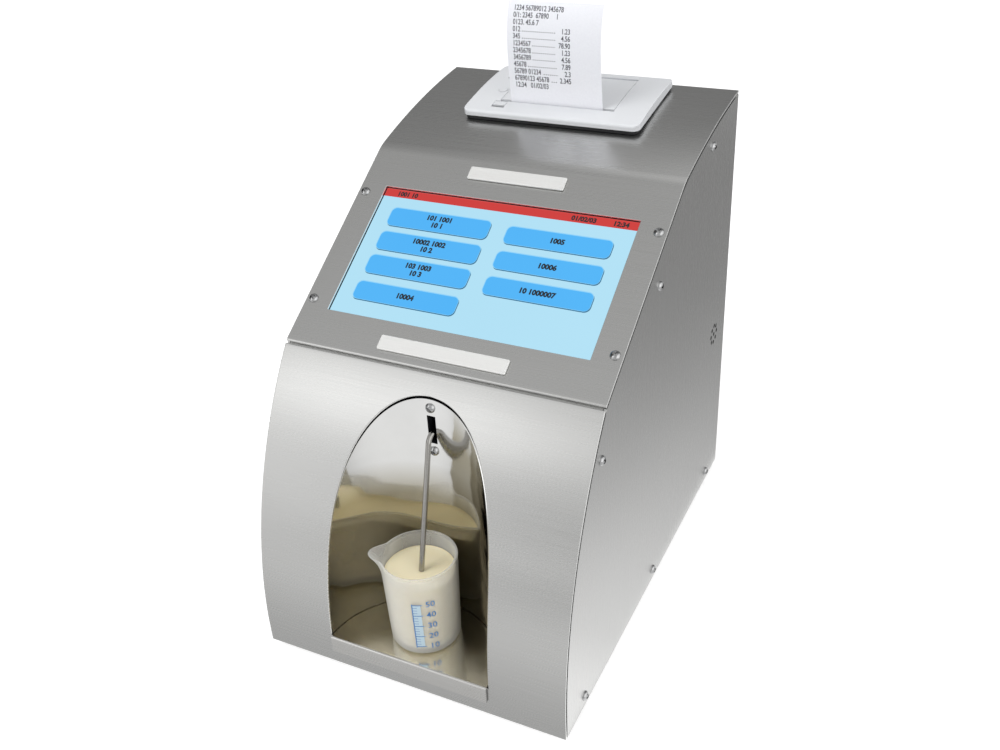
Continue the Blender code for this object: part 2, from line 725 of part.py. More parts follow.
# Rubber feet pushed into the base
foot_places = [(x, y) for x in (-1, 1) for y in (FOOT_INSET, CASE_DEPTH - FOOT_INSET)]
for (side, y), word in zip(foot_places, ("left_front", "left_rear", "right_front", "right_rear")):
    spot = (side * (HALF - FOOT_INSET), y, 0)
    collar = FOOT_PEG_RADIUS + GAP
    profile = [
        (0, -FOOT_HEIGHT), (FOOT_RADIUS * FOOT_SOLE_SHARE, -FOOT_HEIGHT),
        (FOOT_RADIUS, -FOOT_HEIGHT * FOOT_EDGE_SHARE), (FOOT_RADIUS, -GAP), (FOOT_PEG_RADIUS, -GAP),
        (FOOT_PEG_RADIUS, FOOT_PEG_LENGTH), (0, FOOT_PEG_LENGTH),
    ]
    solid(f"foot_{word}", aim(turned(profile, 16), (0, 0, 1), spot), BLACK, CASE, spot)
    cut(chassis, hole(f"foot_hole_{word}", CASE, spot, (0, 0, 1), collar))

# Mirror-polished liner of the niche, flush with the front cover
liner_top = CASE_HEIGHT - SHEET
half_ring = (arc(LINER_RADIUS, (0, 0), 0, math.pi, NICHE_STEPS)
             + arc(NICHE_RADIUS, (0, 0), math.pi, 0, NICHE_STEPS))
liner = solid("niche_liner", prism(half_ring, INSET, liner_top, "Z"), MIRROR, CASE,
              smooth=math.radians(30))
flush = cutter("flush_front", prism(inside_outline(GAP), -HALF, HALF), CASE)
combine(liner, flush, "INTERSECT")
heel = block((-HALF, -OVERRUN, 0), (HALF, INSET, mouth_bottom + GAP))
cut(liner, cutter("behind_front", heel, CASE))
slot_shape = rounded(SLOT_WIDTH, SLOT_LENGTH, SLOT_WIDTH / 5, (0, SLOT_CENTRE), 2)
slot = cutter("tube_slot", prism(slot_shape, NICHE_RADIUS - OVERRUN / 2, LINER_RADIUS + GAP / 2, "Y"),
              CASE)
cut(liner, slot)

# Floor of the niche with its folded front lip and a leg down to the base
floor_low = FLOOR_HEIGHT - SHEET
floor_edge = NICHE_RADIUS - GAP
floor_plan = arc(floor_edge, (0, 0), 0, math.pi, NICHE_STEPS)
floor_plan += [(-floor_edge, -LIP_REACH), (floor_edge, -LIP_REACH)]
niche_floor = solid("niche_floor", prism(floor_plan, floor_low, FLOOR_HEIGHT, "Z"), MIRROR, CASE,
                    smooth=math.radians(30))
lip = block((-floor_edge, -LIP_REACH, FLOOR_HEIGHT - LIP_DROP), (floor_edge, -GAP, FLOOR_HEIGHT))
leg_y = floor_edge / 2
leg = block((-leg_y, leg_y, INSET), (leg_y, leg_y + SHEET, FLOOR_HEIGHT - SHEET / 2))
join(niche_floor, cutter("floor_lip", lip, CASE), cutter("floor_leg", leg, CASE))

# Bracket behind the liner that carries the tube's pivot, held by two screws from the niche
PIVOT = Vector((0, LINER_RADIUS + PIVOT_BEHIND_WALL, SLOT_CENTRE - PIVOT_BELOW_CENTRE))
TUBE_Z = SLOT_CENTRE - TUBE_BELOW_CENTRE
bracket_front = LINER_RADIUS + GAP
bracket_back = bracket_front + BRACKET_PLATE
bracket_half = NICHE_SCREW_SPACING / 2 + SCREW_HEAD_RADIUS + SHEET
bracket = solid(
    "tube_bracket",
    block((-BRACKET_WIDTH / 2, bracket_front, SLOT_CENTRE - bracket_half),
          (BRACKET_WIDTH / 2, bracket_back, SLOT_CENTRE + bracket_half)),
    DARK, CASE,
)
cheek_inner = TUBE_BLOCK_WIDTH / 2 + GAP
for side, word in ((-1, "left"), (1, "right")):
    low_x, high_x = sorted((side * cheek_inner, side * (cheek_inner + CHEEK)))
    cheek = block((low_x, bracket_back - BRACKET_PLATE / 2, PIVOT.z - TUBE_BLOCK_HEIGHT / 2),
                  (high_x, PIVOT.y + TUBE_BLOCK_LENGTH / 2, PIVOT.z + TUBE_BLOCK_HEIGHT / 2))
    join(bracket, cutter(f"cheek_{word}", cheek, CASE))
wide_slot = rounded(SLOT_WIDTH + 2 * GAP, SLOT_LENGTH + 2 * GAP, SLOT_WIDTH / 5,
                    (0, SLOT_CENTRE), 2)
cut(bracket, cutter("bracket_slot", prism(wide_slot, bracket_front - GAP / 2, bracket_back + GAP, "Y"),
                    CASE))
pin_reach = cheek_inner + CHEEK
cut(bracket, cutter("pivot_bore", rod(PIVOT_PIN_RADIUS + GAP,
                                      PIVOT - Vector((pin_reach + GAP, 0, 0)),
                                      PIVOT + Vector((pin_reach + GAP, 0, 0)), 12), CASE))
for side, word in ((-1, "low"), (1, "high")):
    spot = (0, NICHE_RADIUS, SLOT_CENTRE + side * NICHE_SCREW_SPACING / 2)
    bore = hole(f"niche_hole_{word}", CASE, spot, (0, -1, 0))
    cut(liner, bore)
    cut(bracket, bore)
    screw(f"niche_screw_{word}", CASE, spot, (0, -1, 0))

# Pivot block on the tube, with its two trunnions
block_half = Vector((TUBE_BLOCK_WIDTH, TUBE_BLOCK_LENGTH, TUBE_BLOCK_HEIGHT)) / 2
tube_block = solid("tube_block", block(PIVOT - block_half, PIVOT + block_half), DARK, CASE, PIVOT)
reach = Vector((pin_reach, 0, 0))
trunnions = rod(PIVOT_PIN_RADIUS, PIVOT - reach, PIVOT + reach, 12)
join(tube_block, cutter("trunnions", trunnions, CASE))
bore_start = Vector((0, PIVOT.y - TUBE_BLOCK_LENGTH, TUBE_Z))
bore_end = Vector((0, PIVOT.y + TUBE_BLOCK_LENGTH, TUBE_Z))
cut(tube_block, cutter("tube_bore", rod(TUBE_RADIUS + GAP, bore_start, bore_end, 12), CASE))

# Sample tube: straight back through the slot, one bend, then a leaning leg into the milk
milk_top = FLOOR_HEIGHT + MILK_LEVEL
tube_tip = milk_top - TUBE_DIP
turn = math.pi / 2 - TUBE_LEAN
tangent = TUBE_BEND_RADIUS * math.tan(turn / 2)
bend_start = Vector((0, TUBE_RISE_LINE + tangent, TUBE_Z))
bend_centre = bend_start - Vector((0, 0, TUBE_BEND_RADIUS))
tube_route = [Vector((0, PIVOT.y + TUBE_TAIL, TUBE_Z))]
for i in range(7):
    angle = turn * i / 6
    spoke = Vector((0, -math.sin(angle), math.cos(angle)))
    tube_route.append(bend_centre + spoke * TUBE_BEND_RADIUS)
fall = (tube_route[-1].z - tube_tip) / math.cos(TUBE_LEAN)
down = Vector((0, -math.sin(TUBE_LEAN), -math.cos(TUBE_LEAN)))
tube_route.append(tube_route[-1] + down * fall)
swing = empty("tube_swing", PIVOT, parent=CASE)
hose("sample_tube", [p - PIVOT for p in tube_route], TUBE_RADIUS, MIRROR, swing)

# Cup: a thin-walled beaker with a drawn spout, standing on the niche floor
CUP_FOOT = Vector((CUP_PLACE_X, CUP_PLACE_Y, FLOOR_HEIGHT + GAP))


def cup_radius(height):
    """Outer radius of the cup's wall at a height."""
    return CUP_BASE_RADIUS + (CUP_RIM_RADIUS - CUP_BASE_RADIUS) * height / CUP_HEIGHT


def cup_profile(inside, top):
    """Profile of the cup's outer or inner side from the middle of its bottom to a height."""
    start = cup_radius(0) - inside
    cut_back = CUP_CORNER * CUP_CORNER_SHARE
    low = inside + CUP_CORNER
    points = [(0, inside), (start - CUP_CORNER, inside), (start - cut_back, inside + cut_back),
              (start, low)]
    for share in CUP_LEVEL_SHARES:
        height = low + (top - low) * share
        points.append((cup_radius(height) - inside, height))
    return points


def spout(point):
    """Carry a point of the upper wall out into the spout."""
    height = (point.z - CUP_HEIGHT * (1 - SPOUT_SHARE)) / (CUP_HEIGHT * SPOUT_SHARE)
    angle = math.atan2(point.y, point.x) - SPOUT_TURN
    angle = (angle + math.pi) % (2 * math.pi) - math.pi
    if height <= 0 or abs(angle) >= SPOUT_SPREAD:
        return
    reach_out = SPOUT_REACH * height ** 2 * math.cos(angle / SPOUT_SPREAD * math.pi / 2) ** 2
    side = Vector((point.x, point.y, 0)).normalized()
    point.x += side.x * reach_out
    point.y += side.y * reach_out


outer = cup_profile(0, CUP_HEIGHT)
inner = cup_profile(CUP_WALL, CUP_HEIGHT)
cup_mesh = turned(outer + list(reversed(inner)), CUP_STEPS)
for vert in cup_mesh.verts:
    spout(vert.co)
solid("beaker", aim(cup_mesh, (0, 0, 1), CUP_FOOT), CUP, CASE, CUP_FOOT, math.radians(40))
milk_line = cup_profile(CUP_WALL + GAP, milk_top - CUP_FOOT.z)
milk_line.append((0, milk_top - CUP_FOOT.z))
milk = solid("milk", aim(turned(milk_line, CUP_STEPS), (0, 0, 1), CUP_FOOT), MILK, CASE, CUP_FOOT)
pit_start = tube_route[-1] + down * GAP
cut(milk, cutter("tip_pit", rod(TUBE_RADIUS + GAP, pit_start, pit_start - down * OVERRUN, 12), CASE))

# Display under the slanted panel, in a frame of its own: X across, Y up the slope, Z outwards
SLOPE = empty("slope", (0, CREASE.x, CREASE.y), (SLANT_ANGLE, 0, 0), CASE)
WINDOW_CENTRE = WINDOW_START + WINDOW_LENGTH / 2
glass_top = -INSET
module_top = glass_top - GLASS_THICKNESS - GAP
module_low = module_top - MODULE_THICKNESS
frame_low = module_low - GAP - FRAME_BACK


def slope_box(width, length, low, high, centre=(0, 0)):
    """A box on the slope, centred on a point."""
    x, y = centre
    return block((x - width / 2, y - length / 2, low), (x + width / 2, y + length / 2, high))


middle = (0, WINDOW_CENTRE)
window = slope_box(WINDOW_WIDTH, WINDOW_LENGTH, -OVERRUN / 4, OVERRUN, middle)
cut(upper_cover, cutter("window", window, SLOPE))
glass_shape = rounded(MODULE_WIDTH, MODULE_LENGTH, PLATE_CORNER * 2, middle, 3)
solid("touch_glass", prism(glass_shape, glass_top - GLASS_THICKNESS, glass_top, "Z"), SCREEN, SLOPE)
solid("display_module", slope_box(MODULE_WIDTH, MODULE_LENGTH, module_low, module_top, middle),
      DARK, SLOPE)
pocket_width = MODULE_WIDTH + 2 * GAP
pocket_length = MODULE_LENGTH + 2 * GAP
display_frame = solid(
    "display_frame",
    slope_box(pocket_width + 2 * FRAME_WALL, pocket_length + 2 * FRAME_WALL, frame_low, glass_top,
              middle),
    DARK, SLOPE,
)
ear_end = INNER_HALF - GAP
ear_start = MODULE_WIDTH / 2 + FRAME_WALL / 2
screw_x = HALF - PANEL_SCREW_INSET
screw_low = WINDOW_START + PANEL_SCREW_ABOVE_SILL
screw_high = WINDOW_END - PANEL_SCREW_BELOW_HEAD
for side, word in ((-1, "left"), (1, "right")):
    for s, level in ((screw_low, "low"), (screw_high, "high")):
        spot = (side * screw_x, s, 0)
        low_x, high_x = sorted((side * ear_start, side * ear_end))
        ear = block((low_x, s - EAR_LENGTH / 2, glass_top - EAR_THICKNESS),
                    (high_x, s + EAR_LENGTH / 2, glass_top))
        join(display_frame, cutter(f"ear_{word}_{level}", ear, SLOPE))
        bore = hole(f"panel_hole_{word}_{level}", SLOPE, spot, (0, 0, 1))
        cut(upper_cover, bore)
        cut(display_frame, bore)
        screw(f"panel_screw_{word}_{level}", SLOPE, spot, (0, 0, 1))
pocket = slope_box(pocket_width, pocket_length, module_low - GAP, OVERRUN, middle)
back_hole = slope_box(pocket_width - 2 * FRAME_LEDGE, pocket_length - 2 * FRAME_LEDGE,
                      -2 * OVERRUN, OVERRUN, middle)
cut(display_frame, cutter("frame_pocket", pocket, SLOPE), cutter("frame_window", back_hole, SLOPE))

# Two bare name plates stuck on the slant
for name, width, length, start in (
    ("upper_plate", UPPER_PLATE_WIDTH, UPPER_PLATE_LENGTH, SLANT_LENGTH - UPPER_PLATE_BELOW_BEND),
    ("lower_plate", LOWER_PLATE_WIDTH, LOWER_PLATE_LENGTH, LOWER_PLATE_START),
):
    shape = rounded(width, length, PLATE_CORNER, (0, start + length / 2), 3)
    solid(name, prism(shape, GAP, GAP + PLATE_THICKNESS, "Z"), STEEL, SLOPE)

# Panel printer, in a frame on the underside of its plate: Y to the back, Z outwards
printer_y = CASE_DEPTH - PRINTER_FROM_REAR
PRINTER_TILT = math.asin((TOP_CENTRE.x - printer_y - PRINTER_TOUCH_BEHIND) / TOP_RADIUS)
touch = on_top(PRINTER_TILT)
away = Vector((-math.sin(PRINTER_TILT), math.cos(PRINTER_TILT)))
along = Vector((math.cos(PRINTER_TILT), math.sin(PRINTER_TILT)))
seat = touch + away * (2 * GAP + GASKET_LEAST)
seat += along * (printer_y - seat.x) / along.x
PRINTER = empty("printer", (0, seat.x, seat.y), (PRINTER_TILT, 0, 0), CASE)
half_length = PRINTER_LENGTH / 2


def crown(v):
    """Height of the plate's crowned top at a distance behind its middle."""
    return PLATE_RIM + PLATE_CROWN * (1 - (v / half_length) ** 2)


def crowned(start, end, steps=10):
    """The crowned top from one depth to another."""
    spots = [start + (end - start) * i / steps for i in range(steps + 1)]
    return [(v, crown(v)) for v in spots]


rim_low = PLATE_RIM - PLATE_BEVEL
plate_side = [(-half_length, 0), (half_length, 0), (half_length, rim_low)]
plate_side += crowned(half_length - PLATE_BEVEL, PLATE_BEVEL - half_length, 12)
plate_side += [(-half_length, rim_low)]
printer_body = solid("printer_body", prism(plate_side, -PRINTER_WIDTH / 2, PRINTER_WIDTH / 2),
                     WHITE, PRINTER, smooth=math.radians(20))
plate_plan = rounded(PRINTER_WIDTH, PRINTER_LENGTH, PRINTER_CORNER)
round_off = prism(plate_plan, -OVERRUN, OVERRUN, "Z")
combine(printer_body, cutter("round_corners", round_off, PRINTER), "INTERSECT")
housing_low = -(ROLL_BELOW_PLATE + ROLL_RADIUS + GAP + HOUSING_WALL)
housing = block((-HOUSING_WIDTH / 2, -HOUSING_FRONT, housing_low),
                (HOUSING_WIDTH / 2, HOUSING_BACK, PLATE_RIM / 4))
join(printer_body, cutter("housing", housing, PRINTER))

# Where the lid, the platen and the paper slot lie in the printer
lid_floor = PLATE_RIM - LID_THICKNESS
slot_front = -PAPER_LINE - PAPER_SLOT
lid_front = -PAPER_LINE + PAPER_SLOT
hinge = Vector((0, HINGE_BACK, lid_floor + HINGE_RADIUS))
platen_end = PAPER_WIDTH / 2 + GAP
ear_inner = platen_end + GAP
bay_half = ear_inner + PLATEN_EAR + 2 * GAP
bay_back = HOUSING_BACK - HOUSING_WALL
bay = block((-bay_half, HOUSING_WALL - HOUSING_FRONT, housing_low + HOUSING_WALL),
            (bay_half, bay_back, 0))
throat = block((-bay_half, slot_front, -GAP), (bay_half, bay_back, lid_floor))
lid_room = block((-LID_WIDTH / 2 - GAP, slot_front, lid_floor - GAP),
                 (LID_WIDTH / 2 + GAP, HINGE_BACK + HINGE_RADIUS + GAP, OVERRUN))
cut(printer_body, cutter("paper_bay", bay, PRINTER), cutter("throat", throat, PRINTER),
    cutter("lid_room", lid_room, PRINTER))
head_back = -PAPER_LINE - PAPER_THICKNESS / 2 - GAP
head = block((-PAPER_WIDTH / 2, HOUSING_WALL / 2 - HOUSING_FRONT, -PRINT_HEAD_TOP - PRINT_HEAD_HEIGHT),
             (PAPER_WIDTH / 2, head_back, -PRINT_HEAD_TOP))
join(printer_body, cutter("print_head", head, PRINTER))

# Lid with its hinge barrel, and the two ears that carry the platen roller
barrel = arc(HINGE_RADIUS, (hinge.y, hinge.z), -math.pi / 2, math.pi / 2, 6)
lid_side = [(lid_front, lid_floor)] + barrel
lid_side += crowned(HINGE_BACK - 2 * HINGE_RADIUS, lid_front)
lid = solid("printer_lid", prism(lid_side, -LID_WIDTH / 2, LID_WIDTH / 2), WHITE, PRINTER, hinge,
            math.radians(20))
platen = Vector((0, -PAPER_LINE + PLATEN_NIP + PLATEN_RADIUS, lid_floor - GAP - PLATEN_RADIUS))
ear_half = PLATEN_PIN_RADIUS + SHEET
for side, word in ((-1, "left"), (1, "right")):
    low_x, high_x = sorted((side * ear_inner, side * (ear_inner + PLATEN_EAR)))
    ear = block((low_x, platen.y - ear_half, platen.z - ear_half),
                (high_x, platen.y + ear_half, lid_floor + LID_THICKNESS / 3))
    join(lid, cutter(f"platen_ear_{word}", ear, PRINTER))
    pin_out = Vector((side * (LID_WIDTH / 2 + HINGE_PIN_REACH), 0, 0))
    pin_in = Vector((side * LID_WIDTH / 3, 0, 0))
    clear = Vector((side * GAP, 0, 0))
    pin = rod(HINGE_PIN_RADIUS, hinge + pin_in, hinge + pin_out, 10)
    join(lid, cutter(f"lid_pin_{word}", pin, PRINTER))
    socket = rod(HINGE_PIN_RADIUS + GAP, hinge + pin_in, hinge + pin_out + clear, 10)
    cut(printer_body, cutter(f"lid_socket_{word}", socket, PRINTER))
ear_reach = Vector((ear_inner + PLATEN_EAR + GAP, 0, 0))
platen_bore = rod(PLATEN_PIN_RADIUS + GAP, platen - ear_reach, platen + ear_reach, 12)
cut(lid, cutter("platen_bore", platen_bore, PRINTER))
pin_end = ear_inner + PLATEN_EAR
platen_line = [
    (0, -pin_end), (PLATEN_PIN_RADIUS, -pin_end), (PLATEN_PIN_RADIUS, -platen_end),
    (PLATEN_RADIUS, -platen_end), (PLATEN_RADIUS, platen_end), (PLATEN_PIN_RADIUS, platen_end),
    (PLATEN_PIN_RADIUS, pin_end), (0, pin_end),
]
solid("platen_roller", aim(turned(platen_line, 16), (1, 0, 0), platen), BLACK, PRINTER, platen,
      math.radians(40))

# Paper roll lying in its bay, and the strip that runs from it out of the slot
roll = Vector((0, ROLL_BEHIND_SLOT - PAPER_LINE, -ROLL_BELOW_PLATE))
roll_half = PAPER_WIDTH / 2
roll_line = [(ROLL_CORE_RADIUS, -roll_half), (ROLL_RADIUS, -roll_half), (ROLL_RADIUS, roll_half),
             (ROLL_CORE_RADIUS, roll_half)]
solid("paper_roll", aim(turned(roll_line, 24), (1, 0, 0), roll), PAPER, PRINTER, roll,
      math.radians(40))
paper_side = -PAPER_LINE - PAPER_THICKNESS / 2
paper_exit = Vector((paper_side, crown(paper_side)))
up = Vector((math.sin(PRINTER_TILT), math.cos(PRINTER_TILT)))
back = Vector((math.cos(PRINTER_TILT), -math.sin(PRINTER_TILT)))
first_bend, second_bend = (PAPER_RISE * share for share in PAPER_BEND_SHARES)
bends = [(0, 0), (-PAPER_START_BOW, first_bend), (-PAPER_BOW, second_bend), (PAPER_CURL, PAPER_RISE)]
leave = [paper_exit + back * y + up * z for y, z in bends]
paper_line = [(roll.y - ROLL_RADIUS - GAP - PAPER_THICKNESS, roll.z),
              (paper_side, -PRINT_HEAD_TOP - PRINT_HEAD_HEIGHT * HEAD_FEED_SHARE)]
for i in range(PAPER_STEPS + 1):
    t = i / PAPER_STEPS
    a, b, c, d = leave
    point = a * (1 - t) ** 3 + b * 3 * t * (1 - t) ** 2 + c * 3 * t * t * (1 - t) + d * t ** 3
    paper_line.append(tuple(point))
solid("paper_strip", prism(strip(paper_line, PAPER_THICKNESS), -roll_half, roll_half), PAPER,
      PRINTER, smooth=math.radians(20))

# Feed button and lid latch in the printer's plate
button_v = -BUTTON_FORWARD
button_top = crown(button_v) + BUTTON_PROUD
button_spot = Vector((BUTTON_X, button_v, button_top))
button_line = [(0, -BUTTON_LENGTH), (BUTTON_RADIUS, -BUTTON_LENGTH),
               (BUTTON_RADIUS, -BUTTON_PROUD / 2), (BUTTON_RADIUS * BUTTON_EDGE_SHARE, 0), (0, 0)]
solid("feed_button", aim(turned(button_line, 16), (0, 0, 1), button_spot), WHITE, PRINTER,
      button_spot, math.radians(40))
well = button_spot - Vector((0, 0, BUTTON_LENGTH + BUTTON_TRAVEL + GAP))
above = button_spot + Vector((0, 0, OVERRUN))
cut(printer_body, cutter("button_well", rod(BUTTON_RADIUS + GAP, well, above, 16), PRINTER))
latch_half = LATCH_THICKNESS / 2
latch_pivot = Vector((LATCH_X, slot_front - latch_half, crown(slot_front) - latch_half))
latch_front = latch_pivot.y - LATCH_LENGTH
latch_side = arc(latch_half, (latch_pivot.y, latch_pivot.z), -math.pi / 2, math.pi / 2, 6)
latch_side += [(latch_front, latch_pivot.z + latch_half), (latch_front, latch_pivot.z - latch_half)]
latch_span = (LATCH_X - LATCH_WIDTH / 2, LATCH_X + LATCH_WIDTH / 2)
solid("lid_latch", prism(latch_side, *latch_span), WHITE, PRINTER, latch_pivot, math.radians(40))
room_front = latch_front - LATCH_FINGER_GAP
latch_room = block((latch_span[0] - GAP, room_front, latch_pivot.z - LATCH_THICKNESS),
                   (latch_span[1] + GAP, slot_front + GAP, OVERRUN))
cut(printer_body, cutter("latch_room", latch_room, PRINTER))

# Black gasket between the plate and the crowned top, and the hole for the printer's housing
gasket_plan = rounded(PRINTER_WIDTH - 2 * GASKET_INSET, PRINTER_LENGTH - 2 * GASKET_INSET,
                      PRINTER_CORNER)
gasket = solid("printer_gasket", prism(gasket_plan, -OVERRUN / 2, -GAP, "Z"), BLACK, PRINTER)
cut(gasket, cutter("crowned_top", prism(inside_outline(-GAP), -HALF, HALF), CASE))
mouth = block((-HOUSING_WIDTH / 2 - GAP, -HOUSING_FRONT - GAP, -OVERRUN),
              (HOUSING_WIDTH / 2 + GAP, HOUSING_BACK + GAP, OVERRUN))
mouth_tool = cutter("printer_mouth", mouth, PRINTER)
cut(gasket, mouth_tool)
cut(upper_cover, mouth_tool)
tab_y = CASE_DEPTH - SHEET - GAP
rear_tab_low = top_z(tab_y) - REAR_TAB_DROP
rear_tab = [(tab_y - SHEET, rear_tab_low), (tab_y, rear_tab_low), (tab_y, top_z(tab_y) - SHEET / 2),
            (tab_y - SHEET, top_z(tab_y - SHEET) - SHEET / 2)]
join(upper_cover, cutter("rear_tab", prism(rear_tab, -REAR_TAB_WIDTH / 2, REAR_TAB_WIDTH / 2), CASE))

# Measuring cell on the base, with a nozzle on its cap and one on its side
cell_top = INSET + CELL_HEIGHT
cell_y = CELL_FRONT + CELL_LENGTH / 2
cell = solid("measuring_cell",
             block((-CELL_WIDTH / 2, CELL_FRONT, INSET),
                   (CELL_WIDTH / 2, CELL_FRONT + CELL_LENGTH, cell_top)),
             STEEL, CASE)
cap_top = cell_top + CELL_CAP_HEIGHT
cap = rod(CELL_CAP_RADIUS, (0, cell_y, cell_top - SHEET), (0, cell_y, cap_top), 24)
top_nozzle = Vector((0, cell_y, cap_top + NOZZLE_LENGTH))
cell_nozzle = rod(NOZZLE_RADIUS, (0, cell_y, cell_top), top_nozzle, 12)
side_nozzle = Vector((-CELL_WIDTH / 2 - NOZZLE_LENGTH, cell_y, INSET + CELL_HEIGHT / 2))
outlet = rod(NOZZLE_RADIUS, (0, cell_y, side_nozzle.z), side_nozzle, 12)
join(cell, cutter("cell_cap", cap, CASE), cutter("cell_inlet", cell_nozzle, CASE),
     cutter("cell_outlet", outlet, CASE))

# Peristaltic pump: head with an open rotor chamber, three-lobed rotor, motor on its own foot
pump_z = INSET + PUMP_HEAD_SIDE / 2
pump_axis = Vector((PUMP_X, PUMP_FRONT, pump_z))
pump_half = PUMP_HEAD_SIDE / 2
pump_back = PUMP_FRONT + PUMP_HEAD_DEPTH
pump_top = INSET + PUMP_HEAD_SIDE
pump_head = solid("pump_head",
                  block((PUMP_X - pump_half, PUMP_FRONT, INSET),
                        (PUMP_X + pump_half, pump_back, pump_top)),
                  DARK, CASE)
nozzle_root = Vector((PUMP_X, PUMP_FRONT + PUMP_HEAD_DEPTH / 2, pump_top - PUMP_HEAD_WALL))
pump_nozzle = nozzle_root + Vector((0, 0, PUMP_HEAD_WALL + NOZZLE_LENGTH))
join(pump_head, cutter("pump_nozzle", rod(NOZZLE_RADIUS, nozzle_root, pump_nozzle, 12), CASE))
chamber_back = pump_back - PUMP_HEAD_WALL
chamber = rod(ROTOR_RADIUS + 2 * GAP, pump_axis - Vector((0, OVERRUN, 0)),
              Vector((PUMP_X, chamber_back, pump_z)), 24)
through = pump_axis + Vector((0, PUMP_HEAD_DEPTH + OVERRUN, 0))
shaft_hole = rod(ROTOR_SHAFT_RADIUS + GAP, pump_axis, through, 12)
cut(pump_head, cutter("rotor_chamber", chamber, CASE), cutter("shaft_hole", shaft_hole, CASE))
lobes = []
for i in range(24):
    angle = 2 * math.pi * i / 24
    lobe = ROTOR_RADIUS * (1 - LOBE_SHARE * (1 - math.cos(3 * angle)) / 2)
    lobes.append((PUMP_X + lobe * math.cos(angle), pump_z + lobe * math.sin(angle)))
rotor_back = chamber_back - GAP
rotor_spot = Vector((PUMP_X, rotor_back, pump_z))
rotor = solid("pump_rotor", prism(lobes, rotor_back - ROTOR_THICKNESS, rotor_back, "Y"), WHITE,
              CASE, rotor_spot)
motor_front = pump_back + GAP
shaft_end = motor_front + PUMP_HEAD_WALL
shaft_start = rotor_spot - Vector((0, ROTOR_THICKNESS / 2, 0))
shaft = rod(ROTOR_SHAFT_RADIUS, shaft_start, (PUMP_X, shaft_end, pump_z), 12)
join(rotor, cutter("rotor_shaft", shaft, CASE))
motor_end = motor_front + MOTOR_LENGTH
motor_shape = rod(MOTOR_RADIUS, (PUMP_X, motor_front, pump_z), (PUMP_X, motor_end, pump_z), 24)
motor = solid("pump_motor", motor_shape, PLATED, CASE, smooth=math.radians(30))
foot_half = MOTOR_RADIUS * MOTOR_FOOT_SHARE
foot = block((PUMP_X - foot_half, motor_front + MOTOR_LENGTH / 4, INSET),
             (PUMP_X + foot_half, motor_end - MOTOR_LENGTH / 4, pump_z - MOTOR_RADIUS / 2))
join(motor, cutter("motor_foot", foot, CASE))
motor_bore = rod(ROTOR_SHAFT_RADIUS + GAP, (PUMP_X, motor_front - GAP, pump_z),
                 (PUMP_X, shaft_end + GAP, pump_z), 12)
cut(motor, cutter("motor_bore", motor_bore, CASE))

# Silicone hoses: tube to cell, and cell to pump
run = HOSE_RADIUS * 2
rise = Vector((0, 0, run))
lift = Vector((0, 0, GAP))
tail = tube_route[0] + Vector((0, GAP, 0))
intake = [tail + Vector((0, run, 0)), Vector((0, cell_y - run / 2, tail.z - run)),
          Vector((0, cell_y, (tail.z + top_nozzle.z) / 2)), top_nozzle + rise]
intake = [tail] + curve_through(intake, 5) + [top_nozzle + lift]
hose("intake_hose", intake, HOSE_RADIUS, SILICONE, CASE)
outlet_end = side_nozzle - Vector((GAP, 0, 0))
feed = [side_nozzle - Vector((run, 0, 0)),
        Vector((PUMP_X, (2 * cell_y + PUMP_FRONT) / 3, pump_nozzle.z + run)),
        Vector((PUMP_X, (cell_y + 2 * pump_nozzle.y) / 3, pump_nozzle.z + 3 * run)),
        pump_nozzle + rise]
feed = [outlet_end] + curve_through(feed, 6) + [pump_nozzle + lift]
hose("pump_hose", feed, HOSE_RADIUS, SILICONE, CASE)

# Main board on four posts, with its larger parts
board_low = INSET + BOARD_POST
board_back = BOARD_FRONT + BOARD_LENGTH
board_left = CELL_WIDTH / 2 + BOARD_FROM_CELL
board_width = HALF - BOARD_FROM_SIDE - board_left
board = solid("main_board",
              block((board_left, BOARD_FRONT, board_low),
                    (board_left + board_width, board_back, board_low + BOARD_THICKNESS)),
              BOARD, CASE)
for i, (a, b) in enumerate(POST_SHARES):
    x = board_left + a * board_width
    y = BOARD_FRONT + b * BOARD_LENGTH
    post = rod(BOARD_POST_RADIUS, (x, y, INSET), (x, y, board_low + BOARD_THICKNESS / 2), 8)
    join(board, cutter(f"post_{i}", post, CASE))
for i, (a, b, wide, long, tall) in enumerate(CHIP_SHARES):
    x = board_left + a * board_width
    y = BOARD_FRONT + b * BOARD_LENGTH
    half_x, half_y = wide * board_width / 2, long * BOARD_LENGTH / 2
    chip = block((x - half_x, y - half_y, board_low + BOARD_THICKNESS / 2),
                 (x + half_x, y + half_y, board_low + BOARD_THICKNESS * tall))
    join(board, cutter(f"chip_{i}", chip, CASE))

# Power supply in its folded case behind the board, with a terminal strip on its front
supply_front = board_back + SUPPLY_FROM_BOARD
supply_back = CASE_DEPTH - SUPPLY_FROM_REAR
supply = solid("power_supply",
               block((INLET_X - SUPPLY_WIDTH / 2, supply_front, INSET),
                     (INLET_X + SUPPLY_WIDTH / 2, supply_back, INSET + SUPPLY_HEIGHT)),
               PLATED, CASE)
strip_low = INSET + SUPPLY_HEIGHT / 4
terminal_half = SUPPLY_WIDTH * TERMINAL_SHARE / 2
terminals = block((INLET_X - terminal_half, supply_front - TERMINAL_DEPTH, strip_low),
                  (INLET_X + terminal_half, supply_front + SHEET, strip_low + SUPPLY_HEIGHT / 3))
join(supply, cutter("terminal_strip", terminals, CASE))

# Buzzer behind the vent holes of the right side plate
buzzer_face = HALF - SIDE_PLATE - GAP
buzzer_y = CASE_DEPTH - VENT_FROM_REAR
solid("buzzer", rod(BUZZER_RADIUS, (buzzer_face - BUZZER_DEPTH, buzzer_y, VENT_HEIGHT),
                    (buzzer_face, buzzer_y, VENT_HEIGHT), 24), DARK, CASE, smooth=math.radians(30))

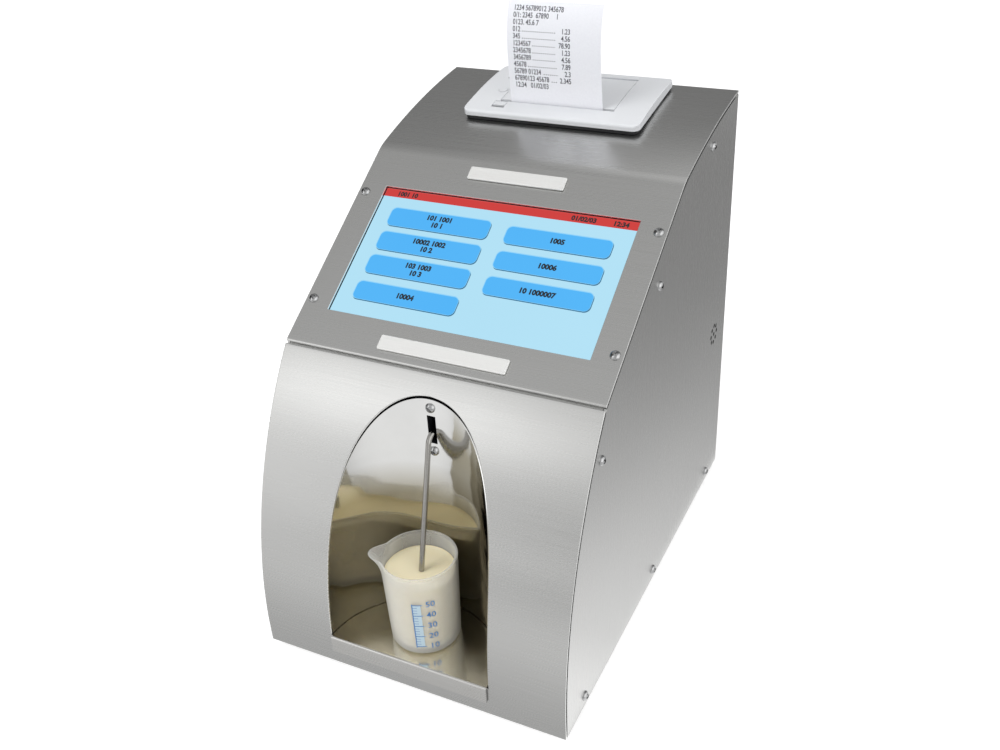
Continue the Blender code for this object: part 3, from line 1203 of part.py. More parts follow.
# Mains inlet module on the back: rocker, fuse drawer and pin recess, one above the other
face = CASE_DEPTH + GAP + FLANGE_THICKNESS
inlet_half = INLET_WIDTH / 2
inlet_top = INLET_HEIGHT + INLET_TALL / 2
inlet_low = INLET_HEIGHT - INLET_TALL / 2
inlet = solid("power_inlet",
              block((INLET_X - inlet_half, CASE_DEPTH - INLET_DEPTH, inlet_low),
                    (INLET_X + inlet_half, face - FLANGE_THICKNESS / 2, inlet_top)), DARK, CASE)
flange_half = inlet_half + INLET_FLANGE
flange = block((INLET_X - flange_half, CASE_DEPTH + GAP, inlet_low - INLET_FLANGE),
               (INLET_X + flange_half, face, inlet_top + INLET_FLANGE))
join(inlet, cutter("inlet_flange", flange, CASE))
panel_cut = block((INLET_X - inlet_half - GAP, CASE_DEPTH - OVERRUN, inlet_low - GAP),
                  (INLET_X + inlet_half + GAP, CASE_DEPTH + OVERRUN, inlet_top + GAP))
cut(chassis, cutter("inlet_cutout", panel_cut, CASE))
rocker_z = inlet_top - RECESS_SPACING - ROCKER_TALL / 2
fuse_z = rocker_z - ROCKER_TALL / 2 - RECESS_SPACING - FUSE_TALL / 2
pins_z = fuse_z - FUSE_TALL / 2 - RECESS_SPACING - PIN_RECESS_TALL / 2
for name, z, tall, deep in (("rocker_room", rocker_z, ROCKER_TALL, ROCKER_DEPTH),
                            ("fuse_room", fuse_z, FUSE_TALL, FUSE_DEPTH),
                            ("pin_room", pins_z, PIN_RECESS_TALL, PIN_RECESS_DEPTH)):
    room = block((INLET_X - RECESS_WIDTH / 2, face - deep, z - tall / 2),
                 (INLET_X + RECESS_WIDTH / 2, face + OVERRUN, z + tall / 2))
    cut(inlet, cutter(name, room, CASE))
for i, (a, b) in enumerate(PIN_SHARES):
    x = INLET_X + a * RECESS_WIDTH
    z = pins_z + b * PIN_RECESS_TALL
    blade = block((x - PIN_WIDTH / 2, face - PIN_RECESS_DEPTH - SHEET, z - PIN_WIDTH),
                  (x + PIN_WIDTH / 2, face - PIN_RECESS_DEPTH + PIN_LENGTH, z + PIN_WIDTH))
    join(inlet, cutter(f"blade_{i}", blade, CASE))
rocker_half = RECESS_WIDTH / 2 - GAP
rocker_spot = Vector((INLET_X, face - ROCKER_DEPTH / 3, rocker_z))
rocker_side = [(a * ROCKER_DEPTH, b * ROCKER_TALL) for a, b in ROCKER_SHARES]
tilt = Matrix.Rotation(ROCKER_TILT, 4, "X")
rocker_mesh = prism(rocker_side, -rocker_half, rocker_half)
place = Matrix.Translation(rocker_spot) @ tilt
bmesh.ops.transform(rocker_mesh, matrix=place, verts=rocker_mesh.verts)
rocker = solid("rocker_switch", rocker_mesh, DARK, CASE, rocker_spot)
pin_out = Vector((rocker_half + ROCKER_PIN_REACH, 0, 0))
rocker_pin = rod(ROCKER_PIN_RADIUS, rocker_spot - pin_out, rocker_spot + pin_out, 10)
join(rocker, cutter("rocker_pin", rocker_pin, CASE))
bore_out = pin_out + Vector((GAP, 0, 0))
rocker_bore = rod(ROCKER_PIN_RADIUS + GAP, rocker_spot - bore_out, rocker_spot + bore_out, 10)
cut(inlet, cutter("rocker_bore", rocker_bore, CASE))
fuse_half = RECESS_WIDTH / 2 - GAP
fuse_rise = FUSE_TALL / 2 - GAP
solid("fuse_drawer",
      block((INLET_X - fuse_half, face - FUSE_DEPTH + GAP, fuse_z - fuse_rise),
            (INLET_X + fuse_half, face + SHEET, fuse_z + fuse_rise)), DARK, CASE)

# Socket for a measuring probe on the back
socket_face = CASE_DEPTH + GAP
socket_end = socket_face + SOCKET_REACH
inner_radius = SOCKET_RADIUS - SOCKET_WALL
socket_line = [
    (0, socket_face - SOCKET_REACH), (SOCKET_THREAD_RADIUS, socket_face - SOCKET_REACH),
    (SOCKET_THREAD_RADIUS, socket_face), (SOCKET_NUT_RADIUS, socket_face),
    (SOCKET_NUT_RADIUS, socket_face + SOCKET_NUT), (SOCKET_RADIUS, socket_face + SOCKET_NUT),
    (SOCKET_RADIUS, socket_end), (inner_radius, socket_end), (inner_radius, socket_face + SOCKET_NUT),
    (0, socket_face + SOCKET_NUT),
]
socket_mesh = aim(turned(socket_line, 20), (0, 1, 0), (SOCKET_X, 0, SOCKET_HEIGHT))
solid("probe_socket", socket_mesh, PLATED, CASE, smooth=math.radians(30))
socket_spot = (SOCKET_X, CASE_DEPTH, SOCKET_HEIGHT)
cut(chassis, hole("socket_hole", CASE, socket_spot, (0, 1, 0), SOCKET_THREAD_RADIUS + GAP, OVERRUN, 20))
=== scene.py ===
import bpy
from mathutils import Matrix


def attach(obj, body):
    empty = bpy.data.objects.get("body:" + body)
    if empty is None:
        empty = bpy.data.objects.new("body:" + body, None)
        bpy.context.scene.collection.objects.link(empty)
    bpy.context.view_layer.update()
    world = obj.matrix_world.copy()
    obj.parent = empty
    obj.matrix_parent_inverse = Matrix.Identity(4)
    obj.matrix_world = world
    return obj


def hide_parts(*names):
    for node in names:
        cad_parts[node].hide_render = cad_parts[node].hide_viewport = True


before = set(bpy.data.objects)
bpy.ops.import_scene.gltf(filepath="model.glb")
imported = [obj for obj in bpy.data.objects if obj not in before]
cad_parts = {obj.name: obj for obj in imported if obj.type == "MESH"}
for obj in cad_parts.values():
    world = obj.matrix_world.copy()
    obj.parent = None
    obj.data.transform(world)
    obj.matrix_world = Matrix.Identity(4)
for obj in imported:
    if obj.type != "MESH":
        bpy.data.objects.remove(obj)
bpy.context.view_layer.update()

import bmesh
import bpy
import math
from mathutils import Matrix, Vector

# ---------------------------------------------------------------- chassis
# The real case stands on a base and back folded from one brushed stainless sheet 1.2 mm
# thick. Its side flanges carry the side plates, and its cut edges are lightly broken.
SHEET = 1.2


def linear(code):
    """An sRGB hex colour as Blender's linear colour."""
    channels = [int(code[i:i + 2], 16) / 255 for i in (1, 3, 5)]
    return tuple(c / 12.92 if c <= 0.04045 else ((c + 0.055) / 1.055) ** 2.4
                 for c in channels) + (1,)


def blank(name):
    """A new material with an empty node tree but for its object coordinates."""
    finish = bpy.data.materials.new(name)
    finish.use_nodes = True
    tree = finish.node_tree
    tree.nodes.clear()
    return finish, tree, add(tree, "TexCoord").outputs["Object"]


def add(tree, kind, inputs=None, **settings):
    """Add a node, whose kind leaves out ShaderNode, with its settings and inputs.

    An input takes a value, an output, or a node for its first output.
    """
    whole = kind.startswith(("Geometry", "Function", "NodeGroup"))
    node = tree.nodes.new(kind if whole else "ShaderNode" + kind)
    for name, value in settings.items():
        setattr(node, name, value)
    for key, value in (inputs or {}).items():
        if isinstance(value, bpy.types.Node):
            value = value.outputs[0]
        if isinstance(value, bpy.types.NodeSocket):
            tree.links.new(value, node.inputs[key])
        else:
            node.inputs[key].default_value = value
    return node


def surface(tree, inputs):
    """End a material's tree in a Principled shader."""
    shader = add(tree, "BsdfPrincipled", inputs)
    add(tree, "OutputMaterial", {0: shader})


def brushed(name, stretch, dark="#c3c3c1", light="#cccccb"):
    """Brushed stainless sheet: fine scratches all one way blur what it reflects."""
    finish, tree, place = blank(name)
    # real scratches are about 0.05 mm apart; drawn 0.4 mm apart, and 60 mm long, so they show
    along = add(tree, "Mapping", {"Vector": place, "Scale": stretch})
    grain = add(tree, "TexNoise", {"Vector": along, "Scale": 1.0, "Detail": 3.0, "Roughness": 0.6})
    cloud = add(tree, "TexNoise", {"Vector": place, "Scale": 14.0, "Detail": 2.0})
    tint = add(tree, "Mix", {0: grain, 6: linear(dark), 7: linear(light)}, data_type="RGBA")
    blur = add(tree, "Math", {0: grain, 1: 0.10, 2: 0.20}, operation="MULTIPLY_ADD")
    rubbed = add(tree, "Math", {0: cloud, 1: 0.06, 2: blur}, operation="MULTIPLY_ADD")
    relief = add(tree, "Bump", {"Height": grain, "Strength": 0.06, "Distance": 0.0002})
    surface(tree, {"Base Color": tint.outputs[2], "Metallic": 1.0, "Roughness": rubbed,
                   "Normal": relief})
    return finish


BRUSHED_ACROSS = brushed("brushed_stainless_across", (16, 2400, 2400))
BRUSHED_UPRIGHT = brushed("brushed_stainless_upright", (2400, 2400, 16))
# painted highlight: the sheets' cut edges get a much brighter steel than the brushed face, for the
# light the edges catch
EDGE_HIGHLIGHT = brushed("cut_edge_painted_highlight", (900, 900, 900), "#ececeb", "#f6f6f5")


def linked(name, data):
    """A new object of the scene."""
    thing = bpy.data.objects.new(name, data)
    bpy.context.scene.collection.objects.link(thing)
    return thing


def applied(piece):
    """Put a piece's modifiers into its mesh."""
    whole = piece.evaluated_get(bpy.context.evaluated_depsgraph_get())
    data = bpy.data.meshes.new_from_object(whole)
    piece.modifiers.clear()
    piece.data = data


def made(name, mesh, body, finishes, stands_for=(), wall=0, facing=None, edge=0,
         steps=2, crease=35):
    """Turn a bmesh into a finished piece; wall and edge are in mm and are applied to it."""
    bmesh.ops.remove_doubles(mesh, verts=mesh.verts, dist=1e-6)
    bmesh.ops.recalc_face_normals(mesh, faces=mesh.faces)
    if facing:
        mean = sum((f.normal * f.calc_area() for f in mesh.faces), Vector())
        if mean.dot(Vector(facing)) < 0:
            bmesh.ops.reverse_faces(mesh, faces=mesh.faces)
    data = bpy.data.meshes.new(name)
    mesh.to_mesh(data)
    mesh.free()
    for finish in finishes if isinstance(finishes, list) else [finishes]:
        data.materials.append(finish)
    piece = linked(name, data)
    if wall:
        step = piece.modifiers.new("wall", "SOLIDIFY")
        step.thickness, step.offset, step.use_even_offset = wall / 1000, -1, True
        # a cut edge takes the piece's last finish
        step.material_offset_rim = len(data.materials) - 1
    if edge:
        step = piece.modifiers.new("edge", "BEVEL")
        step.width, step.segments = edge / 1000, steps
        step.limit_method, step.angle_limit = "ANGLE", math.radians(35)
    return settled(piece, body, stands_for, crease, bool(edge))


def settled(piece, body, stands_for, crease, flat_first=False):
    """Apply a piece's modifiers, smooth it by angle and hang it on its body."""
    if piece.modifiers:
        applied(piece)
    piece.data.shade_smooth()
    piece.data.set_sharp_from_angle(angle=math.radians(crease))
    if flat_first:
        step = piece.modifiers.new("large_faces_stay_flat", "WEIGHTED_NORMAL")
        step.keep_sharp = True
        applied(piece)
    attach(piece, body)
    if stands_for:
        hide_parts(*([stands_for] if isinstance(stands_for, str) else stands_for))
    return piece


def cad_mesh(node):
    """A CAD node's own shape, its flat faces whole again."""
    mesh = bmesh.new()
    mesh.from_mesh(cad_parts[node].data)
    bmesh.ops.remove_doubles(mesh, verts=mesh.verts, dist=1e-6)
    bmesh.ops.dissolve_limit(mesh, angle_limit=math.radians(0.8), verts=mesh.verts,
                             edges=mesh.edges)
    return mesh


def dressed(node, body, finishes, edge, steps=2):
    """The CAD node's own shape with its edges rounded."""
    made(node + "_looks", cad_mesh(node), body, finishes, node, edge=edge, steps=steps)


dressed("chassis", "case", BRUSHED_UPRIGHT, 0.2)

# ---------------------------------------------------------------- front cover
# One brushed sheet rolled to a soft curve, with the arched mouth of the niche cut in it. Its
# top end is joggled and slips under the slanted cover, and a tab is welded in each side.
HALF = 93.0
REAR = 270.0
CREASE = Vector((57.0, 170.494))
FRONT_RADIUS = 254.45
FRONT_START = 10.0
FRONT_TOP = CREASE.y - 1.2
ARCH_RADIUS = 48.9
ARCH_LOW = 18.5
SLANT = math.radians(32.1)
SHEET_EDGE = 0.5
# the frame's origin lies behind and below the middle of the case's front bottom edge
ORIGIN_BEHIND = 140.4
ORIGIN_BELOW = 5.0
# the joggle and the tabs stop this far in from the sides of the covers
INSIDE = 1.8
# the screws that the covers' tabs take, as depth and height
TAB_SCREWS = [(51.13, 143.49), (133.35, 199.39), (221.0, 244.81)]


def spot(x, y, z):
    """A place in mm from the middle of the case's front bottom edge, in the frame's metres."""
    return Vector((x, y - ORIGIN_BEHIND, z + ORIGIN_BELOW)) / 1000


def in_case(point):
    """A place of the frame in mm from the middle of the case's front bottom edge."""
    return point * 1000 + Vector((0, ORIGIN_BEHIND, -ORIGIN_BELOW))


def even(low, high, count):
    """Values from low to high in even steps."""
    return [low + (high - low) * i / count for i in range(count + 1)]


def front_y(z):
    """Depth of the front at a height."""
    rise = max(z - FRONT_START, 0)
    return FRONT_RADIUS - math.sqrt(FRONT_RADIUS ** 2 - rise ** 2)


def skin(rows, closed=False, mesh=None):
    """Quads between neighbouring rows of points; closed joins each row's ends."""
    mesh = mesh or bmesh.new()
    made_rows = [[mesh.verts.new(p) for p in row] for row in rows]
    for low, high in zip(made_rows, made_rows[1:]):
        count = len(low)
        for i in range(count if closed else count - 1):
            j = (i + 1) % count
            mesh.faces.new((low[i], low[j], high[j], high[i]))
    return mesh


def slab(mesh, low, high, place=spot):
    """A small box between two corners."""
    xs, ys, zs = zip(low, high)
    ring = [(0, 0), (1, 0), (1, 1), (0, 1)]
    lower = [mesh.verts.new(place(xs[a], ys[b], zs[0])) for a, b in ring]
    upper = [mesh.verts.new(place(xs[a], ys[b], zs[1])) for a, b in ring]
    mesh.faces.new(lower[::-1])
    mesh.faces.new(upper)
    for i in range(4):
        j = (i + 1) % 4
        mesh.faces.new((lower[i], lower[j], upper[j], upper[i]))


arch_levels = []
for share in even(0, 1, 56):
    swing = math.pi / 2 * share ** 2
    depth = ARCH_RADIUS * math.sin(swing)
    level = FRONT_START + math.sqrt(depth * (2 * FRONT_RADIUS - depth))
    if level > ARCH_LOW + 0.5:
        arch_levels.append((level, ARCH_RADIUS * math.cos(swing)))
mouth_half = math.sqrt(ARCH_RADIUS ** 2 - front_y(ARCH_LOW) ** 2)
above = arch_levels[-1][0]
below = [(z, mouth_half) for z in (0, FRONT_START, ARCH_LOW * 0.7, ARCH_LOW * 0.85, ARCH_LOW)]
inner_edge = below + arch_levels + [(z, 0) for z in even(above, FRONT_TOP, 6)[1:]]
mesh = bmesh.new()
for side in (-1, 1):
    skin([[spot(side * x, front_y(z), z) for x in (HALF, edge)] for z, edge in inner_edge],
         mesh=mesh)
skin([[spot(side * edge, front_y(z), z) for side in (-1, 1)] for z, edge in below], mesh=mesh)
made("front_cover_looks", mesh, "case", [BRUSHED_ACROSS, EDGE_HIGHLIGHT], "front_cover",
     wall=SHEET, facing=(0, -1, 0), edge=SHEET_EDGE, steps=3)

mesh = bmesh.new()
inner_half = HALF - INSIDE
front_end = Vector((front_y(FRONT_TOP), FRONT_TOP))
into = Vector((math.sin(SLANT), -math.cos(SLANT)))
up_slant = Vector((math.cos(SLANT), math.sin(SLANT)))
joggle = [front_end + into * 0.5 - up_slant * 0.2, front_end + into * 1.7 + up_slant * 0.5,
          front_end + into * 1.7 + up_slant * 9]
skin([[spot(x, p.x, p.y) for x in (-inner_half, inner_half)] for p in joggle], mesh=mesh)
made("front_joggle", mesh, "case", BRUSHED_ACROSS, wall=SHEET * 0.9,
     facing=(0, -0.3, 1))
mesh = bmesh.new()
for side in (-1, 1):
    low, high = sorted((side * inner_half, side * (inner_half - SHEET)))
    slab(mesh, (low, 44.0, 137.0), (high, 57.6, 150.0))
    for y, z in TAB_SCREWS[1:]:
        slab(mesh, (low, y - 6.5, z - 6.5), (high, y + 6.5, z + 8.0))
made("cover_tabs", mesh, "case", BRUSHED_UPRIGHT)

# ---------------------------------------------------------------- upper cover
# The slanted panel and the crowned top are one brushed sheet with a soft bend between them.
# It has the display's window and the printer's mouth cut in it, laps over the side plates and
# ends in a small rolled hem over the front cover.
BEND = Vector((171.531, 242.34))
TOP_CENTRE = Vector((311.05, -188.564))
TOP_RADIUS = 452.93
BEND_REACH = 4.0
HEM_RADIUS = 1.3
WINDOW_HALF = 77.0
WINDOW_LOW = 23.1
WINDOW_HIGH = 107.5
MOUTH_HALF = 50.3
MOUTH_FRONT = 208.7
MOUTH_BACK = 258.7


def on_slant(x, s, n=0.0):
    """A place on the slanted panel in mm: across, up the slant, and out from it."""
    p = CREASE + up_slant * s - into * n
    return spot(x, p.x, p.y)


def top_at(y):
    """Height of the crowned top at a depth."""
    return TOP_CENTRE.y + math.sqrt(TOP_RADIUS ** 2 - (TOP_CENTRE.x - y) ** 2)


def curved(start, corner, end, steps):
    """Points of a soft bend from start to end, drawn towards a corner."""
    return [start * (1 - t) ** 2 + corner * 2 * t * (1 - t) + end * t * t
            for t in even(0, 1, steps)]


bend_start = BEND - up_slant * BEND_REACH
bend_slope = math.asin((TOP_CENTRE.x - BEND.x) / TOP_RADIUS) - BEND_REACH / TOP_RADIUS
bend_end = TOP_CENTRE + Vector((-math.sin(bend_slope), math.cos(bend_slope))) * TOP_RADIUS
line = [CREASE + up_slant * s for s in (3, 12, WINDOW_LOW, 65, WINDOW_HIGH, 118)]
line += curved(bend_start, BEND, bend_end, 10)
line += [Vector((y, top_at(y)))
         for y in even(bend_end.x, REAR, 28)[1:] + [MOUTH_FRONT, MOUTH_BACK]]
line.sort(key=lambda p: p.x)
hem = [math.radians(a) for a in even(75, 0, 5)]
line = [CREASE + (up_slant * (1 - math.sin(a)) + into * (1 - math.cos(a))) * HEM_RADIUS
        for a in hem] + line
columns = [-HALF, -WINDOW_HALF, -MOUTH_HALF, MOUTH_HALF, WINDOW_HALF, HALF]
mesh = skin([[spot(x, p.x, p.y) for x in columns] for p in line])
low_row, high_row = (CREASE + up_slant * s for s in (WINDOW_LOW, WINDOW_HIGH))
gone = []
for face in mesh.faces:
    x, y, z = in_case(face.calc_center_median())
    window = abs(x) < WINDOW_HALF and low_row.x < y < high_row.x
    if window or abs(x) < MOUTH_HALF and MOUTH_FRONT < y < MOUTH_BACK:
        gone.append(face)
bmesh.ops.delete(mesh, geom=gone, context="FACES")
made("upper_cover_looks", mesh, "case", [BRUSHED_ACROSS, EDGE_HIGHLIGHT], "upper_cover",
     wall=SHEET, facing=(0, 0, 1), edge=SHEET_EDGE, steps=3)

# ---------------------------------------------------------------- side plates
# A flat brushed plate is screwed on each side. Its front and top edges stop just short of the
# covers, which leaves a fine dark line; the right one has vent holes with black discs behind them,
# painted shade inside the holes.
LAP_GAP = 0.6
# how near the outline a point has to be to belong to an edge under a cover
NEAR = 2.2
VENT_CENTRE = Vector((246.0, 113.0))
VENT_RING = 5.8
VENT_GROW = 1.5
VENT_REACH = 1.4
VENT_SHADE_RADIUS = 1.45


def mottled(name, dark, light, scale, detail=2.0, stretch=None, blur=None, relief=0,
            flow=None, onto="Base Color", **fixed):
    """A material whose tone follows a noise, which may also blur its gloss or emboss it.

    blur is how much of the noise is added to a least roughness, and relief is for bumps of
    0.1 mm; flow is a slower scale for the tone alone, onto is the input that takes the tone,
    and fixed is for inputs of one value.
    """
    finish, tree, place = blank(name)
    if stretch:
        place = add(tree, "Mapping", {"Vector": place, "Scale": stretch})
    noise = add(tree, "TexNoise", {"Vector": place, "Scale": scale, "Detail": detail})
    slow = add(tree, "TexNoise",
               {"Vector": place, "Scale": flow, "Detail": detail}) if flow else noise
    tone = add(tree, "Mix", {0: slow, 6: linear(dark), 7: linear(light)}, data_type="RGBA")
    inputs = {onto: tone.outputs[2], **fixed}
    if blur:
        inputs["Roughness"] = add(tree, "Math", {0: noise, 1: blur[0], 2: blur[1]},
                                  operation="MULTIPLY_ADD")
    if relief:
        inputs["Normal"] = add(tree, "Bump",
                               {"Height": noise, "Strength": relief, "Distance": 0.0001})
    surface(tree, inputs)
    return finish


def circle(count):
    """The cosines and sines of evenly spaced turns."""
    turns = (2 * math.pi * i / count for i in range(count))
    return [(math.cos(a), math.sin(a)) for a in turns]


def drawn_back(p):
    """How a point of a plate's outline moves away from the covers, in mm."""
    if p.y < CREASE.y - 1 and abs(p.x - front_y(p.y)) < NEAR:
        lean = math.asin(max(p.y - FRONT_START, 0) / FRONT_RADIUS)
        return Vector((math.cos(lean), -math.sin(lean))) * LAP_GAP
    if p.x < BEND.x + 1 and (p - CREASE).dot(into) < NEAR:
        return into * LAP_GAP
    if p.x > BEND.x and top_at(p.x) - p.y < NEAR:
        return (TOP_CENTRE - p).normalized() * LAP_GAP
    return Vector((0, 0))


vents = [VENT_CENTRE] + [VENT_CENTRE + Vector(p) * VENT_RING for p in circle(8)]
for side in ("left", "right"):
    mesh = cad_mesh(f"side_panel_{side}")
    for vert in mesh.verts:
        p = in_case(vert.co).yz
        shift = drawn_back(p)
        for centre in vents:
            if (p - centre).length < VENT_REACH:
                shift = (p - centre) * (VENT_GROW - 1)
        vert.co += Vector((0, shift.x, shift.y)) / 1000
    made(f"side_plate_{side}", mesh, "case", BRUSHED_UPRIGHT, f"side_panel_{side}")

# black discs behind the vent holes are painted shade inside them; their tone varies in flecks 0.5
# mm across
VENT_SHADE = mottled("vent_painted_shade", "#060606", "#161616", 1500, 3.0, Roughness=0.95,
               **{"Specular IOR Level": 0.1})
mesh = bmesh.new()
for centre in vents:
    mesh.faces.new([mesh.verts.new(spot(HALF - 0.3, centre.x + VENT_SHADE_RADIUS * c,
                                        centre.y + VENT_SHADE_RADIUS * s)) for c, s in circle(16)])
made("vent_shade_discs", mesh, "case", VENT_SHADE, facing=(1, 0, 0))

# ---------------------------------------------------------------- screws
# Small dome-head machine screws with a cross recess, zinc plated and bright. Six hold each
# side plate, four hold the display's frame to the slant and two hold the tube's bracket.
SCREW_RADIUS = 2.8
SCREW_HEIGHT = 1.9
RECESS_WIDE = 0.9
SIDE_SCREWS = [(26, 7), (135, 7), (244, 7)] + TAB_SCREWS
SLANT_SCREW_X = 88.5
SLANT_SCREW_UP = (28.0, 101.7)
NICHE_SCREW_DEPTH = 48.57
NICHE_SCREW_HEIGHTS = (126.61, 153.31)
# a head's rim stands this far off the sheet
PROUD = 0.03

# plating leaves soft cloudy patches a millimetre or two across
ZINC = mottled("zinc_plated_steel", "#a2a3a4", "#c8c8c8", 600, 3.0, blur=(0.08, 0.06),
               Metallic=1.0)

tree = bpy.data.node_groups.new("dome_screws", "GeometryNodeTree")
wanted = (("Radius", "NodeSocketFloat", SCREW_RADIUS / 1000),
          ("Height", "NodeSocketFloat", SCREW_HEIGHT / 1000),
          ("Recess", "NodeSocketFloat", RECESS_WIDE / 1000), ("Seed", "NodeSocketInt", 7))
tree.interface.new_socket("Points", in_out="INPUT", socket_type="NodeSocketGeometry")
sockets = {name: tree.interface.new_socket(name, in_out="INPUT", socket_type=kind)
           for name, kind, _ in wanted}
tree.interface.new_socket("Screws", in_out="OUTPUT", socket_type="NodeSocketGeometry")
given = add(tree, "NodeGroupInput").outputs
ball = add(tree, "GeometryNodeMeshUVSphere", {"Segments": 32, "Rings": 16, "Radius": 1.0})
girth = add(tree, "CombineXYZ", {0: given["Radius"], 1: given["Radius"], 2: given["Height"]})
dome = add(tree, "GeometryNodeTransform", {"Geometry": ball, "Scale": girth})
# a block takes away the ball's lower half, and two crossed bars leave the recess
under = add(tree, "GeometryNodeMeshCube", {"Size": (0.02, 0.02, 0.008)})
under = add(tree, "GeometryNodeTransform", {"Geometry": under, "Translation": (0, 0, -0.00398)})
reach = add(tree, "Math", {0: given["Radius"], 1: 1.15}, operation="MULTIPLY")
deep = add(tree, "Math", {0: given["Height"], 1: 1.6}, operation="MULTIPLY")
bar_size = add(tree, "CombineXYZ", {0: reach, 1: given["Recess"], 2: deep})
bar = add(tree, "GeometryNodeMeshCube", {"Size": bar_size})
lift = add(tree, "CombineXYZ", {2: given["Height"]})
bar = add(tree, "GeometryNodeTransform", {"Geometry": bar, "Translation": lift})
cross = add(tree, "GeometryNodeTransform", {"Geometry": bar, "Rotation": (0, 0, math.pi / 2)})
head = add(tree, "GeometryNodeMeshBoolean", {"Mesh 1": dome},
           operation="DIFFERENCE", solver="EXACT")
for tool in (under, bar, cross):
    tree.links.new(tool.outputs[0], head.inputs["Mesh 2"])
facing = add(tree, "GeometryNodeInputNamedAttribute", {"Name": "facing"}, data_type="FLOAT_VECTOR")
aim = add(tree, "FunctionNodeAlignRotationToVector", {"Vector": facing}, axis="Z")
number = add(tree, "GeometryNodeInputIndex")
chance = add(tree, "FunctionNodeRandomValue", {2: 0.0, 3: math.pi, "ID": number,
                                               "Seed": given["Seed"]}, data_type="FLOAT")
spin = add(tree, "FunctionNodeAxisAngleToRotation", {"Axis": (0, 0, 1),
                                                     "Angle": chance.outputs[1]})
turned_so = add(tree, "FunctionNodeRotateRotation", {"Rotation": aim, "Rotate By": spin},
                rotation_space="LOCAL")
many = add(tree, "GeometryNodeInstanceOnPoints", {"Points": given["Points"], "Instance": head,
                                                  "Rotation": turned_so})
real = add(tree, "GeometryNodeRealizeInstances", {"Geometry": many})
coated = add(tree, "GeometryNodeSetMaterial", {"Geometry": real, "Material": ZINC})
add(tree, "NodeGroupOutput", {0: coated})

seats = []
for y, z in SIDE_SCREWS:
    seats += [(spot(side * (HALF + PROUD), y, z), (side, 0, 0)) for side in (-1, 1)]
for x in (-SLANT_SCREW_X, SLANT_SCREW_X):
    seats += [(on_slant(x, s, PROUD), (0, -into.x, -into.y)) for s in SLANT_SCREW_UP]
seats += [(spot(0, NICHE_SCREW_DEPTH, z), (0, -1, 0)) for z in NICHE_SCREW_HEIGHTS]
points = bpy.data.meshes.new("screws")
points.from_pydata([tuple(p) for p, _ in seats], [], [])
way = points.attributes.new("facing", "FLOAT_VECTOR", "POINT")
way.data.foreach_set("vector", [c for _, axis in seats for c in axis])
screws = linked("screws", points)
step = screws.modifiers.new("dome_screws", "NODES")
step.node_group = tree
for name, _, value in wanted:
    step[sockets[name].identifier] = value
screw_nodes = [f"side_screw_{side}_{word}" for side in ("left", "right")
               for word in ("low_front", "low_middle", "low_rear", "front", "slant", "rear")]
screw_nodes += [f"panel_screw_{side}_{word}" for side in ("left", "right")
                for word in ("low", "high")]
settled(screws, "case", screw_nodes + ["niche_screw_low", "niche_screw_high"],
        40)

# ---------------------------------------------------------------- feet
# Four round black rubber feet pushed into holes near the corners of the base. Their soles
# are slightly smaller and softly rounded, and the rubber is matt with a fine moulded grain.
FOOT_RADIUS = 8.0
FOOT_HEIGHT = 5.0
PEG_RADIUS = 2.5
PEG_TOP = 3.0
# clear of the base, whose underside lies at no height
BASE = -0.3
FOOT_PLACES = [(x, y) for x in (-71, 71) for y in (22, 248)]


def lathe(profile, steps=64, mesh=None, place=spot):
    """A profile of radius and height in mm turned about an axis and put in place."""
    return skin([[place(radius * c, radius * s, height) for c, s in circle(steps)]
                 for radius, height in profile], True, mesh)


def softened(points, radius, steps=4):
    """A profile with its inner corners rounded."""
    line = [Vector(points[0])]
    for a, b, c in zip(points, points[1:], points[2:]):
        a, b, c = Vector(a), Vector(b), Vector(c)
        reach = min(radius, (a - b).length * 0.45, (c - b).length * 0.45)
        start = b + (a - b).normalized() * reach
        end = b + (c - b).normalized() * reach
        line += curved(start, b, end, steps)
    return line + [Vector(points[-1])]


# the mould's spark-eroded grain is about 0.3 mm across
RUBBER = mottled("moulded_black_rubber", "#17181a", "#2b2c2e", 2500, 3.0, relief=0.25,
                 Roughness=0.72)

foot_line = softened([(0.01, -FOOT_HEIGHT), (FOOT_RADIUS * 0.85, -FOOT_HEIGHT),
                      (FOOT_RADIUS, -FOOT_HEIGHT * 0.8), (FOOT_RADIUS, BASE), (PEG_RADIUS, BASE),
                      (PEG_RADIUS, PEG_TOP), (0.01, PEG_TOP)], 0.6)
mesh = bmesh.new()
for x, y in FOOT_PLACES:
    lathe(foot_line, 48, mesh, lambda a, b, c: spot(x + a, y + b, c))
made("rubber_feet", mesh, "case", RUBBER,
     ["foot_left_front", "foot_left_rear", "foot_right_front", "foot_right_rear"])

# ---------------------------------------------------------------- niche
# The niche is a half cylinder of thin mirror-polished stainless, cut to the back of the curved
# front and welded to it, with an upright slot for the sample tube. Hand polishing leaves it
# slightly wavy. Its floor is a polished plate folded down over the front as a brushed lip.
LINER_INNER = 48.6
LINER_WALL = 0.8
# the wall ends this far behind the front, and this far round from the case's front plane
LINER_BEHIND = 0.65
LINER_START = math.radians(1.9)
SLOT_HALF = 2.5
SLOT_LOW = 131.46
SLOT_HIGH = 148.46
FLOOR_TOP = 20.0
FLOOR_EDGE = 48.3
# the mirror's tones, painted shade included, are placed by height, up to here
POLISH_TOP = 200.0


